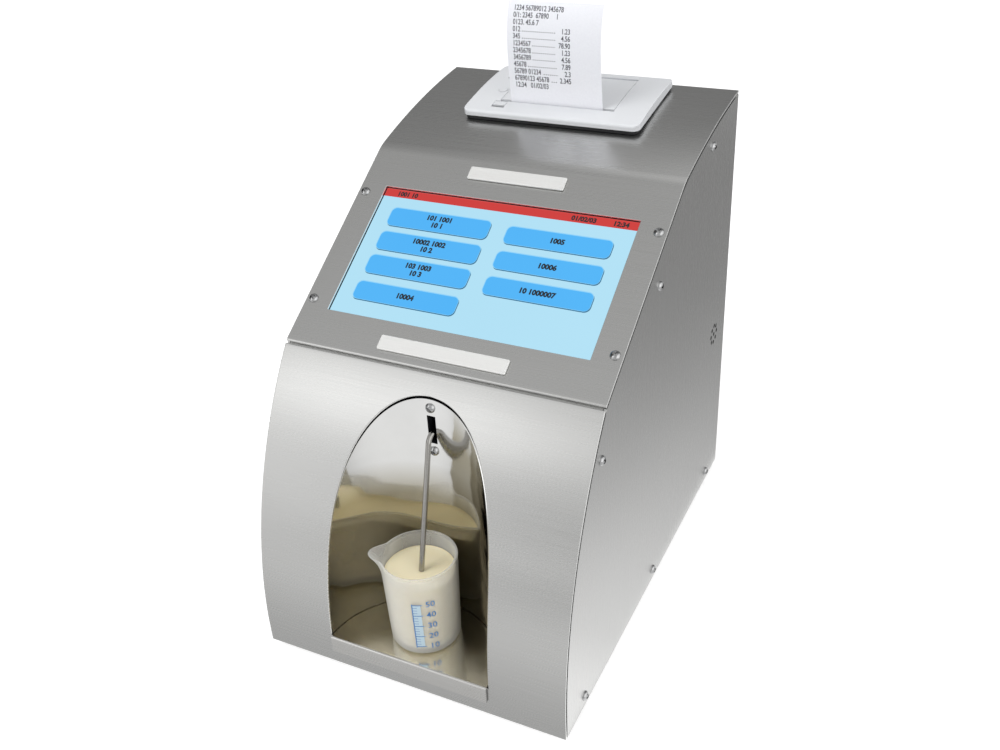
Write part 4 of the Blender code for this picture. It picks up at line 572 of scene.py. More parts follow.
def polished(name, levels, rough=0.04):
    """Mirror-polished sheet; levels are heights in mm with the mirror's tone there, painted shade
    included.
    """
    finish, tree, place = blank(name)
    # waves of the polished sheet are about 25 mm long and a few hundredths of a mm high
    waves = add(tree, "Mapping", {"Vector": place, "Scale": (26, 26, 44)})
    waves = add(tree, "TexNoise", {"Vector": waves, "Scale": 1.0, "Detail": 1.0})
    haze = add(tree, "TexNoise", {"Vector": place, "Scale": 120.0, "Detail": 4.0})
    blur = add(tree, "Math", {0: haze, 1: 0.08, 2: rough}, operation="MULTIPLY_ADD")
    height = add(tree, "SeparateXYZ", {0: place}).outputs["Z"]
    share = add(tree, "MapRange", {"Value": height, "From Max": POLISH_TOP / 1000})
    ramp = add(tree, "ValToRGB", {0: share})
    for z, tone in levels:
        at = (z + ORIGIN_BELOW) / POLISH_TOP
        ramp.color_ramp.elements.new(at).color = linear(tone)
    ramp.color_ramp.elements.remove(ramp.color_ramp.elements[0])
    ramp.color_ramp.elements.remove(ramp.color_ramp.elements[-1])
    worn = add(tree, "Math", {0: haze, 1: 0.06, 2: 0.95}, operation="MULTIPLY_ADD")
    tone = add(tree, "VectorMath", {0: ramp, "Scale": worn}, operation="SCALE")
    relief = add(tree, "Bump", {"Height": waves, "Strength": 1.0, "Distance": 0.0006})
    surface(tree, {"Base Color": tone, "Metallic": 1.0, "Roughness": blur, "Normal": relief})
    return finish


# painted shade: lower down the mirror is painted darker and browner for the niche's shade and the
# beaker's shaded back mirrored there
MIRROR_WITH_PAINTED_SHADE = polished("mirror_polished_wall", ((25, "#a49e8e"), (75, "#a9a392"), (96, "#b0a995"),
                                             (118, "#eeeeec"), (170, "#f2f2f1")))
FLOOR_POLISH = polished("mirror_polished_floor", ((5, "#f4f2ea"), (40, "#f4f2ea")), 0.13)
LIP = brushed("brushed_lip", (60, 1600, 1600), "#c8c7c4", "#d9d8d6")


def liner_top(angle):
    """Height of the niche's wall at an angle round it, just behind the curved front."""
    depth = max(LINER_INNER * math.sin(angle) - LINER_BEHIND, 0.02)
    return FRONT_START + math.sqrt(depth * (2 * FRONT_RADIUS - depth)) - 0.1


slot_turn = math.asin(SLOT_HALF / LINER_INNER)
turns = [math.pi / 2 - slot_turn, math.pi / 2 + slot_turn]
for angle in even(LINER_START, math.pi - LINER_START, 96):
    if all(abs(angle - other) > 0.012 for other in turns[:2]):
        turns.append(angle)
turns.sort()
mesh = bmesh.new()
rows = []
for angle in turns:
    top = liner_top(angle)
    if top < FLOOR_TOP + 3:
        continue
    levels = [2, 10] + even(FLOOR_TOP, SLOT_LOW, 12) + [SLOT_HIGH - 5, SLOT_HIGH, 155, 161]
    rows.append([spot(LINER_INNER * math.cos(angle), LINER_INNER * math.sin(angle), min(z, top))
                 for z in levels])
skin(rows, mesh=mesh)
gone = []
for face in mesh.faces:
    x, y, z = in_case(face.calc_center_median())
    if abs(x) < SLOT_HALF - 0.3 and SLOT_LOW < z < SLOT_HIGH or face.calc_area() < 1e-10:
        gone.append(face)
bmesh.ops.delete(mesh, geom=gone, context="FACES")
made("niche_liner_looks", mesh, "case", MIRROR_WITH_PAINTED_SHADE, "niche_liner",
     wall=LINER_WALL, facing=(0, -1, 0))

arc = even(0, math.pi, 64)
mesh = bmesh.new()
# the floor is half a disc, and its front edge folds down through a quarter turn
rows = [[spot(FLOOR_EDGE * math.cos(a), FLOOR_EDGE * math.sin(a) * share, FLOOR_TOP)
         for a in arc] for share in (1, 0.5, 0)]
fold = [(-0.3 - SHEET * math.sin(a), FLOOR_TOP - SHEET * (1 - math.cos(a)))
        for a in even(0, math.pi / 2, 6)]
for y, z in fold + [(-1.5, 15.0), (-1.5, 9.5)]:
    rows.append([spot(FLOOR_EDGE * math.cos(a), y, z) for a in arc])
skin(rows, mesh=mesh)
for face in mesh.faces:
    face.material_index = int(face.calc_center_median().y < spot(0, -0.25, 0).y)
made("niche_floor_looks", mesh, "case", [FLOOR_POLISH, LIP], "niche_floor",
     wall=SHEET * 0.98, facing=(0, -0.1, 1))
mesh = bmesh.new()
slab(mesh, (-24.1, 24.2, 1.5), (24.1, 25.4, 18.7))
made("niche_floor_leg", mesh, "case", FLOOR_POLISH, edge=0.2)

# ---------------------------------------------------------------- sample tube
# A bright drawn stainless tube comes forward through the slot, bends and leans down into the
# milk. Behind the slot it is clamped in a pivot block between the cheeks of a black bracket.
TUBE_RADIUS = 1.5
TUBE_LEAN = math.radians(15.8)
TUBE_BEND = 5.0
TUBE_HEIGHT = 137.963
TUBE_TAIL = 72.0
# depth at which the level and the leaning part would meet, and the tip's height
TUBE_MEET = 44.6
TUBE_TIP = 64.4

# draw marks run along the tube, some 0.2 mm apart
DRAWN = mottled("drawn_stainless_tube", "#979591", "#b4b2ae", 1.0, stretch=(5000, 5000, 60),
                blur=(0.14, 0.12), Metallic=1.0)


def along(points, radius, steps=24, mesh=None):
    """A round bar with flat ends whose axis follows points of the frame."""
    mesh = mesh or bmesh.new()
    side = None
    rows = []
    for i, point in enumerate(points):
        run = (points[min(i + 1, len(points) - 1)] - points[max(i - 1, 0)]).normalized()
        side = side or run.orthogonal()
        side = (side - run * side.dot(run)).normalized()
        other = run.cross(side)
        rows.append([point + (side * c + other * s) * radius / 1000 for c, s in circle(steps)])
    skin(rows, True, mesh)
    for ring in (rows[0], rows[-1][::-1]):
        mesh.faces.new([mesh.verts.new(p) for p in ring])
    return mesh


turn = math.pi / 2 - TUBE_LEAN
bend_y = TUBE_MEET + TUBE_BEND * math.tan(turn / 2)
tube_line = [(TUBE_TAIL, TUBE_HEIGHT)]
tube_line += [(bend_y - TUBE_BEND * math.sin(a), TUBE_HEIGHT - TUBE_BEND * (1 - math.cos(a)))
              for a in even(0, turn, 6)]
y, z = tube_line[-1]
tube_line.append((y - (z - TUBE_TIP) * math.tan(TUBE_LEAN), TUBE_TIP))
made("sample_tube_looks", along([spot(0, y, z) for y, z in tube_line], TUBE_RADIUS, 32), "tube",
     DRAWN, "sample_tube", crease=50)

# the tool's fine texture is about 0.5 mm across
MOULDED_BLACK = mottled("moulded_black_abs", "#1b1c1e", "#292a2c", 1800, relief=0.15,
                        Roughness=0.42)
dressed("tube_bracket", "case", MOULDED_BLACK, 0.3)
dressed("tube_block", "tube", MOULDED_BLACK, 0.3)

# ---------------------------------------------------------------- beaker
# A 50 ml beaker moulded in clear polypropylene, which is milky where the wall is seen edge
# on. It has a bead round its rim, a drawn spout and marks printed in blue ink.
CUP_FOOT = (-1.2, 24.5, 20.3)
CUP_BASE = 19.3
CUP_RIM = 21.0
CUP_HEIGHT = 54.5
CUP_WALL = 1.3
CUP_LEVELS = (10, 20, 30, 38, 42, 44, 46, 48, 50, 51.5, 52.6)
CUP_SEGMENTS = 128
SPOUT_TURN = math.radians(199)
SPOUT_SPREAD = math.radians(27)
SPOUT_REACH = 7.0
SPOUT_SHARE = 0.22

# the cooled plastic is cloudy in soft patches some 5 mm across
CLEAR = mottled("moulded_clear_polypropylene", "#e6e7e4", "#f2f2ef", 180, Roughness=0.22,
                IOR=1.49)
tree = CLEAR.node_tree
edge_on = add(tree, "LayerWeight", {"Blend": 0.42})
milky = add(tree, "Math", {0: edge_on.outputs["Facing"], 1: 0.62, 2: 0.16},
            operation="MULTIPLY_ADD")
tree.links.new(milky.outputs[0], tree.nodes["Principled BSDF"].inputs["Alpha"])


def cup_radius(h):
    """Outer radius of the beaker's wall at a height."""
    return CUP_BASE + (CUP_RIM - CUP_BASE) * h / CUP_HEIGHT


def in_cup(x, y, h):
    """A place in the beaker, measured from the middle of its underside, spout included."""
    up = (h - CUP_HEIGHT * (1 - SPOUT_SHARE)) / (CUP_HEIGHT * SPOUT_SHARE)
    angle = math.atan2(y, x) - SPOUT_TURN
    angle = (angle + math.pi) % (2 * math.pi) - math.pi
    out = 0
    if up > 0 and abs(angle) < SPOUT_SPREAD and math.hypot(x, y) > 5:
        out = SPOUT_REACH * up ** 2 * math.cos(angle / SPOUT_SPREAD * math.pi / 2) ** 2
    grow = 1 + out / max(math.hypot(x, y), 1)
    return spot(CUP_FOOT[0] + x * grow, CUP_FOOT[1] + y * grow, CUP_FOOT[2] + h)


outer = [(0.01, 0.6), (12, 0.6), (14, 0), (17.2, 0), (18.7, 0.7), (19.3, 2.1)]
outer += [(cup_radius(h), h) for h in CUP_LEVELS]
rim = [(cup_radius(53) + 0.10, 53.0), (cup_radius(53.6) + 0.12, 53.6), (CUP_RIM, 54.2),
       (CUP_RIM - 0.5, 54.5), (CUP_RIM - 1.1, 54.4), (CUP_RIM - 1.5, 53.9)]
inner = [(cup_radius(h) - CUP_WALL, h) for h in CUP_LEVELS[::-1] + (3.4,)]
inner += [(16.9, 1.8), (15.6, 1.4), (0.01, 1.4)]
made("beaker_looks", lathe(outer + rim + inner, CUP_SEGMENTS, place=in_cup), "cup", CLEAR,
     "beaker", crease=60)

# the ink is thinner in specks 0.3 mm across
INK = mottled("blue_printed_ink", "#1f5fa6", "#3f83c4", 3000, Roughness=0.45)
PALE_INK = mottled("pale_blue_printed_ink", "#b5cfdf", "#c9dde6", 3000, Roughness=0.45)


def lettered(mesh, words, size, place, align="LEFT", lean=1.0, index=0, bold=0.0):
    """Add flat generic figures to a mesh, each point put in place from mm across and up."""
    curve = bpy.data.curves.new("figures", "FONT")
    curve.body, curve.size, curve.align_x, curve.align_y = words, size, align, "CENTER"
    curve.resolution_u, curve.offset = 3, bold
    holder = linked("figures", curve)
    flat = bpy.data.meshes.new_from_object(
        holder.evaluated_get(bpy.context.evaluated_depsgraph_get()))
    verts = [mesh.verts.new(place(v.co.x * lean, v.co.y)) for v in flat.vertices]
    for polygon in flat.polygons:
        mesh.faces.new([verts[i] for i in polygon.vertices]).material_index = index
    bpy.data.objects.remove(holder)
    bpy.data.curves.remove(curve)
    bpy.data.meshes.remove(flat)


def patch(mesh, low, high, place, index=0, steps=1):
    """Add a flat rectangle in mm, bent to its carrier in a few steps."""
    xs = even(low[0], high[0], steps)
    rows = [[mesh.verts.new(place(x, y)) for x in xs] for y in (low[1], high[1])]
    for i in range(steps):
        mesh.faces.new((rows[0][i], rows[0][i + 1], rows[1][i + 1],
                        rows[1][i])).material_index = index
    return mesh


MARK_TURN = math.radians(-75)
SCALE_LOW = 6.4
SCALE_STEP = 1.9
SCALE_HIGH = SCALE_LOW + 16 * SCALE_STEP


def on_cup(x, h, off=0.06):
    """A place just off the beaker's wall, in mm across from its scale line and up."""
    radius = cup_radius(h) + off
    angle = MARK_TURN + x / radius
    return in_cup(radius * math.cos(angle), radius * math.sin(angle), h)


mesh = bmesh.new()
patch(mesh, (-0.28, 5.5), (0.28, 37.5), on_cup)
patch(mesh, (0.28, SCALE_LOW), (4.6, SCALE_HIGH), lambda x, y: on_cup(x, y, 0.03), 1, 5)
for i in range(0, 17, 4):
    h = SCALE_LOW + SCALE_STEP * i
    patch(mesh, (0, h - 0.25), (5.6, h + 0.25), on_cup, steps=6)
    lettered(mesh, str(10 + i * 10 // 4), 5.4, lambda x, y: on_cup(x + 7.2, h + y), bold=0.05)
for i in range(17):
    h = SCALE_LOW + SCALE_STEP * i
    if i % 4:
        patch(mesh, (0, h - 0.14), (2.6, h + 0.14), on_cup, steps=3)
made("beaker_scale", mesh, "cup", [INK, PALE_INK], facing=(0.2, -1, 0))

# ---------------------------------------------------------------- milk
# Whole milk stands in the beaker. It is cream white and lets some light in, creeps up the wall a
# little at its edge, and is a little darker and less yellow where its surface faces up.
MILK_LEVEL = 44.9
MILK, tree, place = blank("whole_milk")
# slow cloudy swirls some 8 mm across
swirl = add(tree, "TexNoise", {"Vector": place, "Scale": 120.0, "Detail": 2.0, "Distortion": 0.8})
tone = add(tree, "Mix", {0: swirl, 6: linear("#f6e6b8"), 7: linear("#fdf0cb")}, data_type="RGBA")
facing = add(tree, "SeparateXYZ", {0: add(tree, "NewGeometry").outputs["Normal"]})
top_share = add(tree, "MapRange", {"Value": facing.outputs["Z"], "From Min": 0.6,
                                    "From Max": 0.95})
tone = add(tree, "Mix", {0: top_share, 6: tone.outputs[2], 7: linear("#f0e6c6")},
           data_type="RGBA")
surface(tree, {"Base Color": tone.outputs[2], "Roughness": 0.24, "IOR": 1.35,
               "Subsurface Weight": 0.25, "Subsurface Radius": (1.0, 0.8, 0.5),
               "Subsurface Scale": 0.003})


def milk_radius(h):
    """Radius of the milk, just inside the beaker's wall."""
    return cup_radius(h) - CUP_WALL - 0.3


fill = [(0.01, 1.7), (15.4, 1.7), (16.7, 2.1), (milk_radius(3.4), 3.6)]
fill += [(milk_radius(h), h) for h in (12, 22, 32, 40, 44)]
wet = milk_radius(MILK_LEVEL)
fill += [(wet, MILK_LEVEL), (wet - 0.3, MILK_LEVEL - 0.45), (wet - 1.1, MILK_LEVEL - 0.75),
         (wet - 3, MILK_LEVEL - 0.85), (0.01, MILK_LEVEL - 0.85)]
made("milk_looks", lathe(fill, CUP_SEGMENTS, place=in_cup), "cup", MILK, "milk",
     crease=60)

# ---------------------------------------------------------------- touch display
# A colour touch display lies under the slant's window. Its glass is flat and glossy, and the
# picture shines through it: a pale page with a red bar and seven plainly numbered buttons.
GLASS_TOP = -1.5
GLASS_THICK = 1.1
GLASS_HALF = 82.3
GLASS_LOW = 15.5
GLASS_HIGH = 115.1
PICTURE_HALF = 76.6
BAR_LOW = 101.7

# the back light is slightly uneven under the glossy glass
PAGE = [mottled(f"display_{word}", dark, light, 12.0, 1.0, onto="Emission Color",
                Roughness=0.12, **{"Base Color": linear("#08090a"), "Emission Strength": 0.93})
        for word, dark, light in (
            ("pale_blue", "#b0e2f8", "#b9e9fd"), ("red", "#cf302d", "#d73a36"),
            ("blue", "#46b2fb", "#52bdff"), ("shade", "#2a6c90", "#35789c"),
            ("dark", "#141b22", "#1b232b"), ("light_edge", "#8ad4ff", "#98daff"))]


def oblong(mesh, centre, size, corner, level, index, place):
    """A flat oblong with round corners."""
    ring = []
    for quarter, (sx, sy) in enumerate(((1, 1), (-1, 1), (-1, -1), (1, -1))):
        for a in even(quarter * math.pi / 2, (quarter + 1) * math.pi / 2, 6):
            ring.append(mesh.verts.new(place(
                centre[0] + sx * (size[0] / 2 - corner) + corner * math.cos(a),
                centre[1] + sy * (size[1] / 2 - corner) + corner * math.sin(a), level)))
    mesh.faces.new(ring).material_index = index


mesh = bmesh.new()
slab(mesh, (-GLASS_HALF, GLASS_LOW, GLASS_TOP - GLASS_THICK), (GLASS_HALF, GLASS_HIGH, GLASS_TOP),
     on_slant)
# faint smudges blur the glass
GLOSS = mottled("black_backed_glass", "#0b0c0e", "#0b0c0e", 60.0, 3.0, blur=(0.08, 0.03),
                IOR=1.52)
made("touch_glass_looks", mesh, "case", GLOSS, "touch_glass", edge=0.15)

mesh = bmesh.new()
low, high = WINDOW_LOW + 0.4, WINDOW_HIGH - 0.4
on_page = lambda x, s, layer=0: on_slant(x, s, GLASS_TOP + 0.04 + layer * 0.02)
patch(mesh, (-PICTURE_HALF, low), (PICTURE_HALF, high), on_page)
patch(mesh, (-PICTURE_HALF, BAR_LOW), (PICTURE_HALF, high), lambda x, y: on_page(x, y, 1), 1)
for figures, x in (("12:34", 67), ("01/02/03", 46), ("1001 10", -62)):
    lettered(mesh, figures, 4.0, lambda a, b: on_page(a + x, b + 104.2, 2), "CENTER",
             index=4, bold=0.2)
# middle, width and height of each button, and its lines of figures
buttons = [(-35.9, s, 63.2, 12.6) for s in (88.9, 72.6, 56.7)] + [(-35.9, 39.4, 63.2, 12.0)]
buttons += [(36.2, s, 61.4, 11.8) for s in (88.1, 71.8, 55.5)]
labels = (("101 1001", "10 1"), ("10002 1002", "10 2"), ("103 1003", "10 3"), ("10004",),
          ("1005",), ("10006",), ("10 1000007",))
for lines, (x, s, width, height) in zip(labels, buttons):
    oblong(mesh, (x + 0.5, s - 0.6), (width, height), 3.4, 2, 3, on_page)
    oblong(mesh, (x, s), (width, height), 3.4, 3, 5, on_page)
    oblong(mesh, (x + 0.15, s - 0.2), (width - 0.7, height - 0.8), 3.1, 4, 2, on_page)
    for i, figures in enumerate(lines):
        up = s + 2.2 * (len(lines) - 1) - 4.4 * i
        lettered(mesh, figures, 4.3, lambda a, b: on_page(a + x, b + up, 5), "CENTER",
                 index=4, bold=0.24)
made("display_picture", mesh, "case", PAGE, facing=(0, -0.5, 1))
dressed("display_module", "case", MOULDED_BLACK, 0.2)
dressed("display_frame", "case", MOULDED_BLACK, 0.3)

# ---------------------------------------------------------------- name plates
# Two bright stainless strips stuck to the slant with tape, above and below the display. The
# real ones are engraved; these stay bare. Their face is blasted to a pale satin.

# faint rolling lines run along the plate
BRIGHT = mottled("satin_blasted_plate", "#e6e6e4", "#f3f3f1", 1.0, stretch=(40, 3000, 3000),
                 blur=(0.16, 0.30), Metallic=0.45)
for word in ("upper", "lower"):
    dressed(f"{word}_plate", "case", BRIGHT, 0.3, 3)

# ---------------------------------------------------------------- printer
# A panel printer is let into the top. Its plate, lid, feed button and latch are moulded in
# white ABS with softly rounded edges, and a black foam gasket seals it to the steel.
TILT = math.radians(8.897)
PRINTER_ORIGIN = (235.5, 259.268)
# the plate's flat corners start here, and its bevel lies outside these half sizes
RIM_CORNER = (51, 27.5)
RIM_RADIUS = 2.8
RIM_HALF = (54.8, 30.3)


def on_printer(x, v, w):
    """A place in mm in the printer: across, backwards along its plate, and out of it."""
    return spot(x, PRINTER_ORIGIN[0] + v * math.cos(TILT) - w * math.sin(TILT),
                PRINTER_ORIGIN[1] + v * math.sin(TILT) + w * math.cos(TILT))


# fine tool texture 0.4 mm across, and slow flow marks in the tone
WHITE = mottled("moulded_white_abs", "#d5d7da", "#dee0e3", 2200, flow=25, blur=(0.14, 0.33),
                relief=0.06, IOR=1.5)
mesh = cad_mesh("printer_body")


def on_rim(vert):
    """Whether a point lies on the upper outer edge of the printer's plate."""
    x, y, z = in_case(vert.co) - Vector((0, *PRINTER_ORIGIN))
    v, w = y * math.cos(TILT) + z * math.sin(TILT), z * math.cos(TILT) - y * math.sin(TILT)
    past_x, past_v = abs(x) - RIM_CORNER[0], abs(v) - RIM_CORNER[1]
    corner = past_x > 0 and past_v > 0 and math.hypot(past_x, past_v) > RIM_RADIUS
    return w > 1.5 and (corner or abs(x) > RIM_HALF[0] or abs(v) > RIM_HALF[1])


rim = [edge for edge in mesh.edges if all(on_rim(v) for v in edge.verts)
       and edge.is_manifold and edge.calc_face_angle() > math.radians(20)]
bmesh.ops.bevel(mesh, geom=rim, offset=0.0008, segments=3, affect="EDGES", profile=0.5,
                clamp_overlap=True)
made("printer_body_looks", mesh, "case", WHITE, "printer_body", edge=0.12)
for node, body, edge in (("printer_lid", "lid", 0.35), ("feed_button", "button", 0.2),
                         ("lid_latch", "latch", 0.2)):
    dressed(node, body, WHITE, edge)
dressed("printer_gasket", "case", RUBBER, 0.15)
dressed("platen_roller", "platen", RUBBER, 0.2)

LAMP = (-43.0, 11.6)
mesh = bmesh.new()
ring = [mesh.verts.new(on_printer(LAMP[0] + c, LAMP[1] + 1.2 * s, 4.79)) for c, s in circle(24)]
hub = mesh.verts.new(on_printer(*LAMP, 5.1))
for i in range(24):
    mesh.faces.new((ring[i], ring[(i + 1) % 24], hub))
# the smoked plastic is cloudy in specks a millimetre across
LENS = mottled("smoked_lamp_lens", "#080809", "#141214", 900, Roughness=0.5)
made("lamp_lens", mesh, "case", LENS, facing=(0, 0, 1))
# painted shade: the latch's slot is filled with black ribbed blocks for the shade in the recess
# under the latch
mesh = bmesh.new()
slab(mesh, (-38.2, -25.5, 2.08), (-30.8, -23.55, 2.5), on_printer)
for i in range(6):
    slab(mesh, (-37.6 + 1.2 * i, -25.3, 2.4), (-37.1 + 1.2 * i, -23.8, 3.0), on_printer)
made("latch_slot_shade", mesh, "case", MOULDED_BLACK)

# ---------------------------------------------------------------- receipt paper
# Thermal paper 57.5 mm wide comes off a roll in the printer, up past the print head and out
# of the slot. Its own curl bends the free end, which was torn off against a saw edge.
PAPER_HALF = 28.75
PAPER_THICK = 0.2
PAPER_RISE = 57.5
# where it leaves the printer: along its plate and out of it
PAPER_EXIT = (-17.6, 4.501)
TORN_DEEP = 0.28
ROLL = (3.0, -20.0)
ROLL_RADIUS = 15.0
CORE_RADIUS = 6.0

# fibres show as faint clouds 1 mm across
PAPER = mottled("thermal_paper", "#e9eaf0", "#f3f4f9", 900, 4.0, relief=0.10,
                Roughness=0.5, **{"Subsurface Weight": 0.1, "Subsurface Scale": 0.001,
                                  "Subsurface Radius": (1.0, 1.0, 1.0)})

# the points that pull the free end into its curve, from the slot to the torn edge
hold = [in_case(on_printer(0, *PAPER_EXIT)).yz + Vector(pull) for pull in
        ((0, 0), (-1.5, PAPER_RISE * 0.35), (-6.0, PAPER_RISE * 0.7), (2.8, PAPER_RISE))]


def paper_at(share):
    """Depth and height of the free paper at a share of its length, and the way it runs."""
    a, b, c, d = hold
    t = share
    point = a * (1 - t) ** 3 + b * 3 * t * (1 - t) ** 2 + c * 3 * t * t * (1 - t) + d * t ** 3
    run = (b - a) * 3 * (1 - t) ** 2 + (c - b) * 6 * t * (1 - t) + (d - c) * 3 * t * t
    return point, run.normalized()


def on_paper(x, up, off=0.05):
    """A place just in front of the free paper, in mm across and up from its slot."""
    point, run = paper_at(up / PAPER_RISE)
    return spot(x, point.x - run.y * off, point.y + run.x * off)


mesh = bmesh.new()
columns = even(-PAPER_HALF, PAPER_HALF, 92)
rows = [[on_printer(x, v, w) for x in columns]
        for v, w in ((-12.5, -20.0), (-14.5, -16.0), (-17.2, -11.0), (PAPER_EXIT[0], -9.0),
                     (PAPER_EXIT[0], 0))]
for i in range(49):
    point, _ = paper_at(i / 48)
    rows.append([spot(x, point.x, point.y - (TORN_DEEP if i == 48 and k % 2 else 0))
                 for k, x in enumerate(columns)])
skin(rows, mesh=mesh)
made("paper_strip_looks", mesh, "case", PAPER, "paper_strip",
     wall=PAPER_THICK, facing=(0, -1, 0), crease=60)

# the head's dots are 0.125 mm, which breaks the strokes up slightly
BURN = mottled("thermal_print", "#30303a", "#55555f", 4000, 1.0, Roughness=0.6)
ROW_STEP = 3.92
ROW_TOP = 53.2
ROW_SIZE = 4.1
DOT_STEP = 1.32
mesh = bmesh.new()
readings = [("012", "1.23"), ("345", "4.56"), ("1234567", "78.90"), ("2345678", "1.23"),
            ("3456789", "4.56"), ("45678", "7.89"), ("56789 01234", "2.3"),
            ("67890123 45678", "2.345")]
up = ROW_TOP
for words, value in [("1234 56789012 345678", ""), ("0/1: 2345  67890     1", ""),
                     ("0123. 45.6 7", "")] + readings + [("12:34   01/02/03", "")]:
    lettered(mesh, words, ROW_SIZE, lambda x, y: on_paper(x - 25, up + y), lean=0.78, bold=0.06)
    if value:
        lettered(mesh, value, ROW_SIZE, lambda x, y: on_paper(x + 10.4, up + y), "RIGHT",
                 lean=0.78, bold=0.06)
        # a row of dots leads from the words to the value
        x = 1.57 * len(words) - 23.8
        while x < 1.5:
            patch(mesh, (x, up - 1.2), (x + 0.5, up - 0.7), on_paper)
            x += DOT_STEP
    up -= ROW_STEP
made("paper_print", mesh, "case", BURN, facing=(0, -1, 0))

rows = [(CORE_RADIUS, -PAPER_HALF), (ROLL_RADIUS, -PAPER_HALF), (ROLL_RADIUS, PAPER_HALF),
        (CORE_RADIUS, PAPER_HALF), (CORE_RADIUS, -PAPER_HALF)]
made("paper_roll_looks",
     lathe(rows, 96, place=lambda a, b, h: on_printer(h, ROLL[0] + a, ROLL[1] + b)), "roll",
     PAPER, "paper_roll", edge=0.15)

# ---------------------------------------------------------------- works inside the case
# Never seen from outside: the measuring cell, the hose pump and its motor, silicone hoses,
# the main board and the power supply. Each keeps its CAD shape and gets its real finish.
BOARD, tree, place = blank("green_solder_resist")
# copper tracks 1 mm wide show through the green lacquer
cells = add(tree, "TexVoronoi", {"Vector": place, "Scale": 300.0}, distance="CHEBYCHEV")
track = add(tree, "Math", {0: cells, 1: 0.42}, operation="GREATER_THAN")
tone = add(tree, "Mix", {0: track, 6: linear("#0e4a26"), 7: linear("#1c6b3a")}, data_type="RGBA")
surface(tree, {"Base Color": tone.outputs[2], "Roughness": 0.35})
# silicone is cloudy in patches 3 mm across, and nickel plating in finer ones
SILICONE = mottled("extruded_silicone", "#c9cdc8", "#dde0dc", 300, Roughness=0.35,
                   IOR=1.43, **{"Subsurface Weight": 0.3, "Subsurface Scale": 0.002})
PLATED = mottled("nickel_plated_steel", "#b9b3a6", "#cfcabe", 400, 3.0, blur=(0.15, 0.16),
                 Metallic=1.0)
for node, finish in (("measuring_cell", BRUSHED_UPRIGHT), ("pump_head", MOULDED_BLACK),
                     ("pump_rotor", WHITE), ("pump_motor", PLATED), ("intake_hose", SILICONE),
                     ("pump_hose", SILICONE), ("main_board", BOARD), ("power_supply", PLATED),
                     ("buzzer", MOULDED_BLACK)):
    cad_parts[node].data.materials.clear()
    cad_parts[node].data.materials.append(finish)

# ---------------------------------------------------------------- sockets on the back
# The back carries a mains inlet with its rocker switch and fuse drawer, moulded in black,
# and a nickel-plated coaxial socket for a probe, held by a round nut.
SOCKET_X = -50.0
SOCKET_Z = 100.0
for node, body, edge in (("power_inlet", "case", 0.3), ("rocker_switch", "rocker", 0.25),
                         ("fuse_drawer", "fuse", 0.25)):
    dressed(node, body, MOULDED_BLACK, edge)
socket_line = softened([(0.01, 258.3), (5.5, 258.3), (5.5, 270.3), (8.0, 270.3), (8.0, 272.3),
                        (4.9, 272.3), (4.9, 282.3), (4.0, 282.3), (4.0, 272.3), (0.01, 272.3)],
                       0.35, 3)
in_socket = lambda a, b, h: spot(SOCKET_X + a, h, SOCKET_Z + b)
mesh = lathe(socket_line, 64, place=in_socket)
pin_line = softened([(0.01, 272.3), (0.9, 272.3), (0.9, 279.5), (0.01, 279.5)], 0.3)
lathe(pin_line, 24, mesh, in_socket)
made("probe_socket_looks", mesh, "case", PLATED, "probe_socket", crease=40)

# ---------------------------------------------------------------- studio
# A pale floor, a large soft lamp to the front left and a smaller one overhead, and a soft grey
# room with a bright spot in front, for the band on the curved front, and one above the top.
FLOOR_GLOW = 0.56
FLOOR, tree, place = blank("pale_floor")
mottle = add(tree, "TexNoise", {"Vector": place, "Scale": 3.0})
tone = add(tree, "Mix", {0: mottle, 6: linear("#dcdcdc"), 7: linear("#e1e1e1")}, data_type="RGBA")
shader = add(tree, "BsdfPrincipled",
             {"Base Color": tone.outputs[2], "Roughness": 0.9, "Specular IOR Level": 0.1})
path = add(tree, "LightPath")
seen = add(tree, "Math", {0: path.outputs["Is Camera Ray"], 1: path.outputs["Is Glossy Ray"]},
           operation="MAXIMUM")
seen = add(tree, "Math", {0: seen, 1: path.outputs["Is Transmission Ray"]}, operation="MAXIMUM")
glow = add(tree, "Math", {0: seen, 1: FLOOR_GLOW}, operation="MULTIPLY")
glow = add(tree, "Emission", {"Color": (1, 1, 1, 1), "Strength": glow})
both = add(tree, "AddShader", {0: shader, 1: glow})
add(tree, "OutputMaterial", {0: both})
mesh = bmesh.new()
mesh.faces.new([mesh.verts.new((4.0 * c, 4.0 * s, 0)) for c, s in circle(96)])
data = bpy.data.meshes.new("floor")
mesh.to_mesh(data)
mesh.free()
data.materials.append(FLOOR)
floor = linked("floor", data)

# how bright the room is from the front, -1, to the back, 1
ROOM_LIGHT = ((-1.0, 1.0), (-0.94, 0.98), (-0.85, 1.14), (-0.75, 1.20), (-0.62, 1.16),
              (-0.4, 0.85), (-0.12, 0.58), (0.04, 0.5), (0.3, 0.34), (0.5, 0.27), (0.97, 0.24))
PEAK = 1.5
room = bpy.data.worlds.new("studio_room")
bpy.context.scene.world = room
room.use_nodes = True
tree = room.node_tree
tree.nodes.clear()


def shaded(tree, value, levels):
    """A grey that follows a value through levels of brightness."""
    low, high = levels[0][0], levels[-1][0]
    share = add(tree, "MapRange", {"Value": value, "From Min": low, "From Max": high})
    ramp = add(tree, "ValToRGB", {0: share})
    for place, level in levels[1:-1]:
        ramp.color_ramp.elements.new((place - low) / (high - low)).color = [level / PEAK] * 3 + [1]
    for end in (0, -1):
        ramp.color_ramp.elements[end].color = [levels[end][1] / PEAK] * 3 + [1]
    return add(tree, "Math", {0: ramp, 1: PEAK}, operation="MULTIPLY")


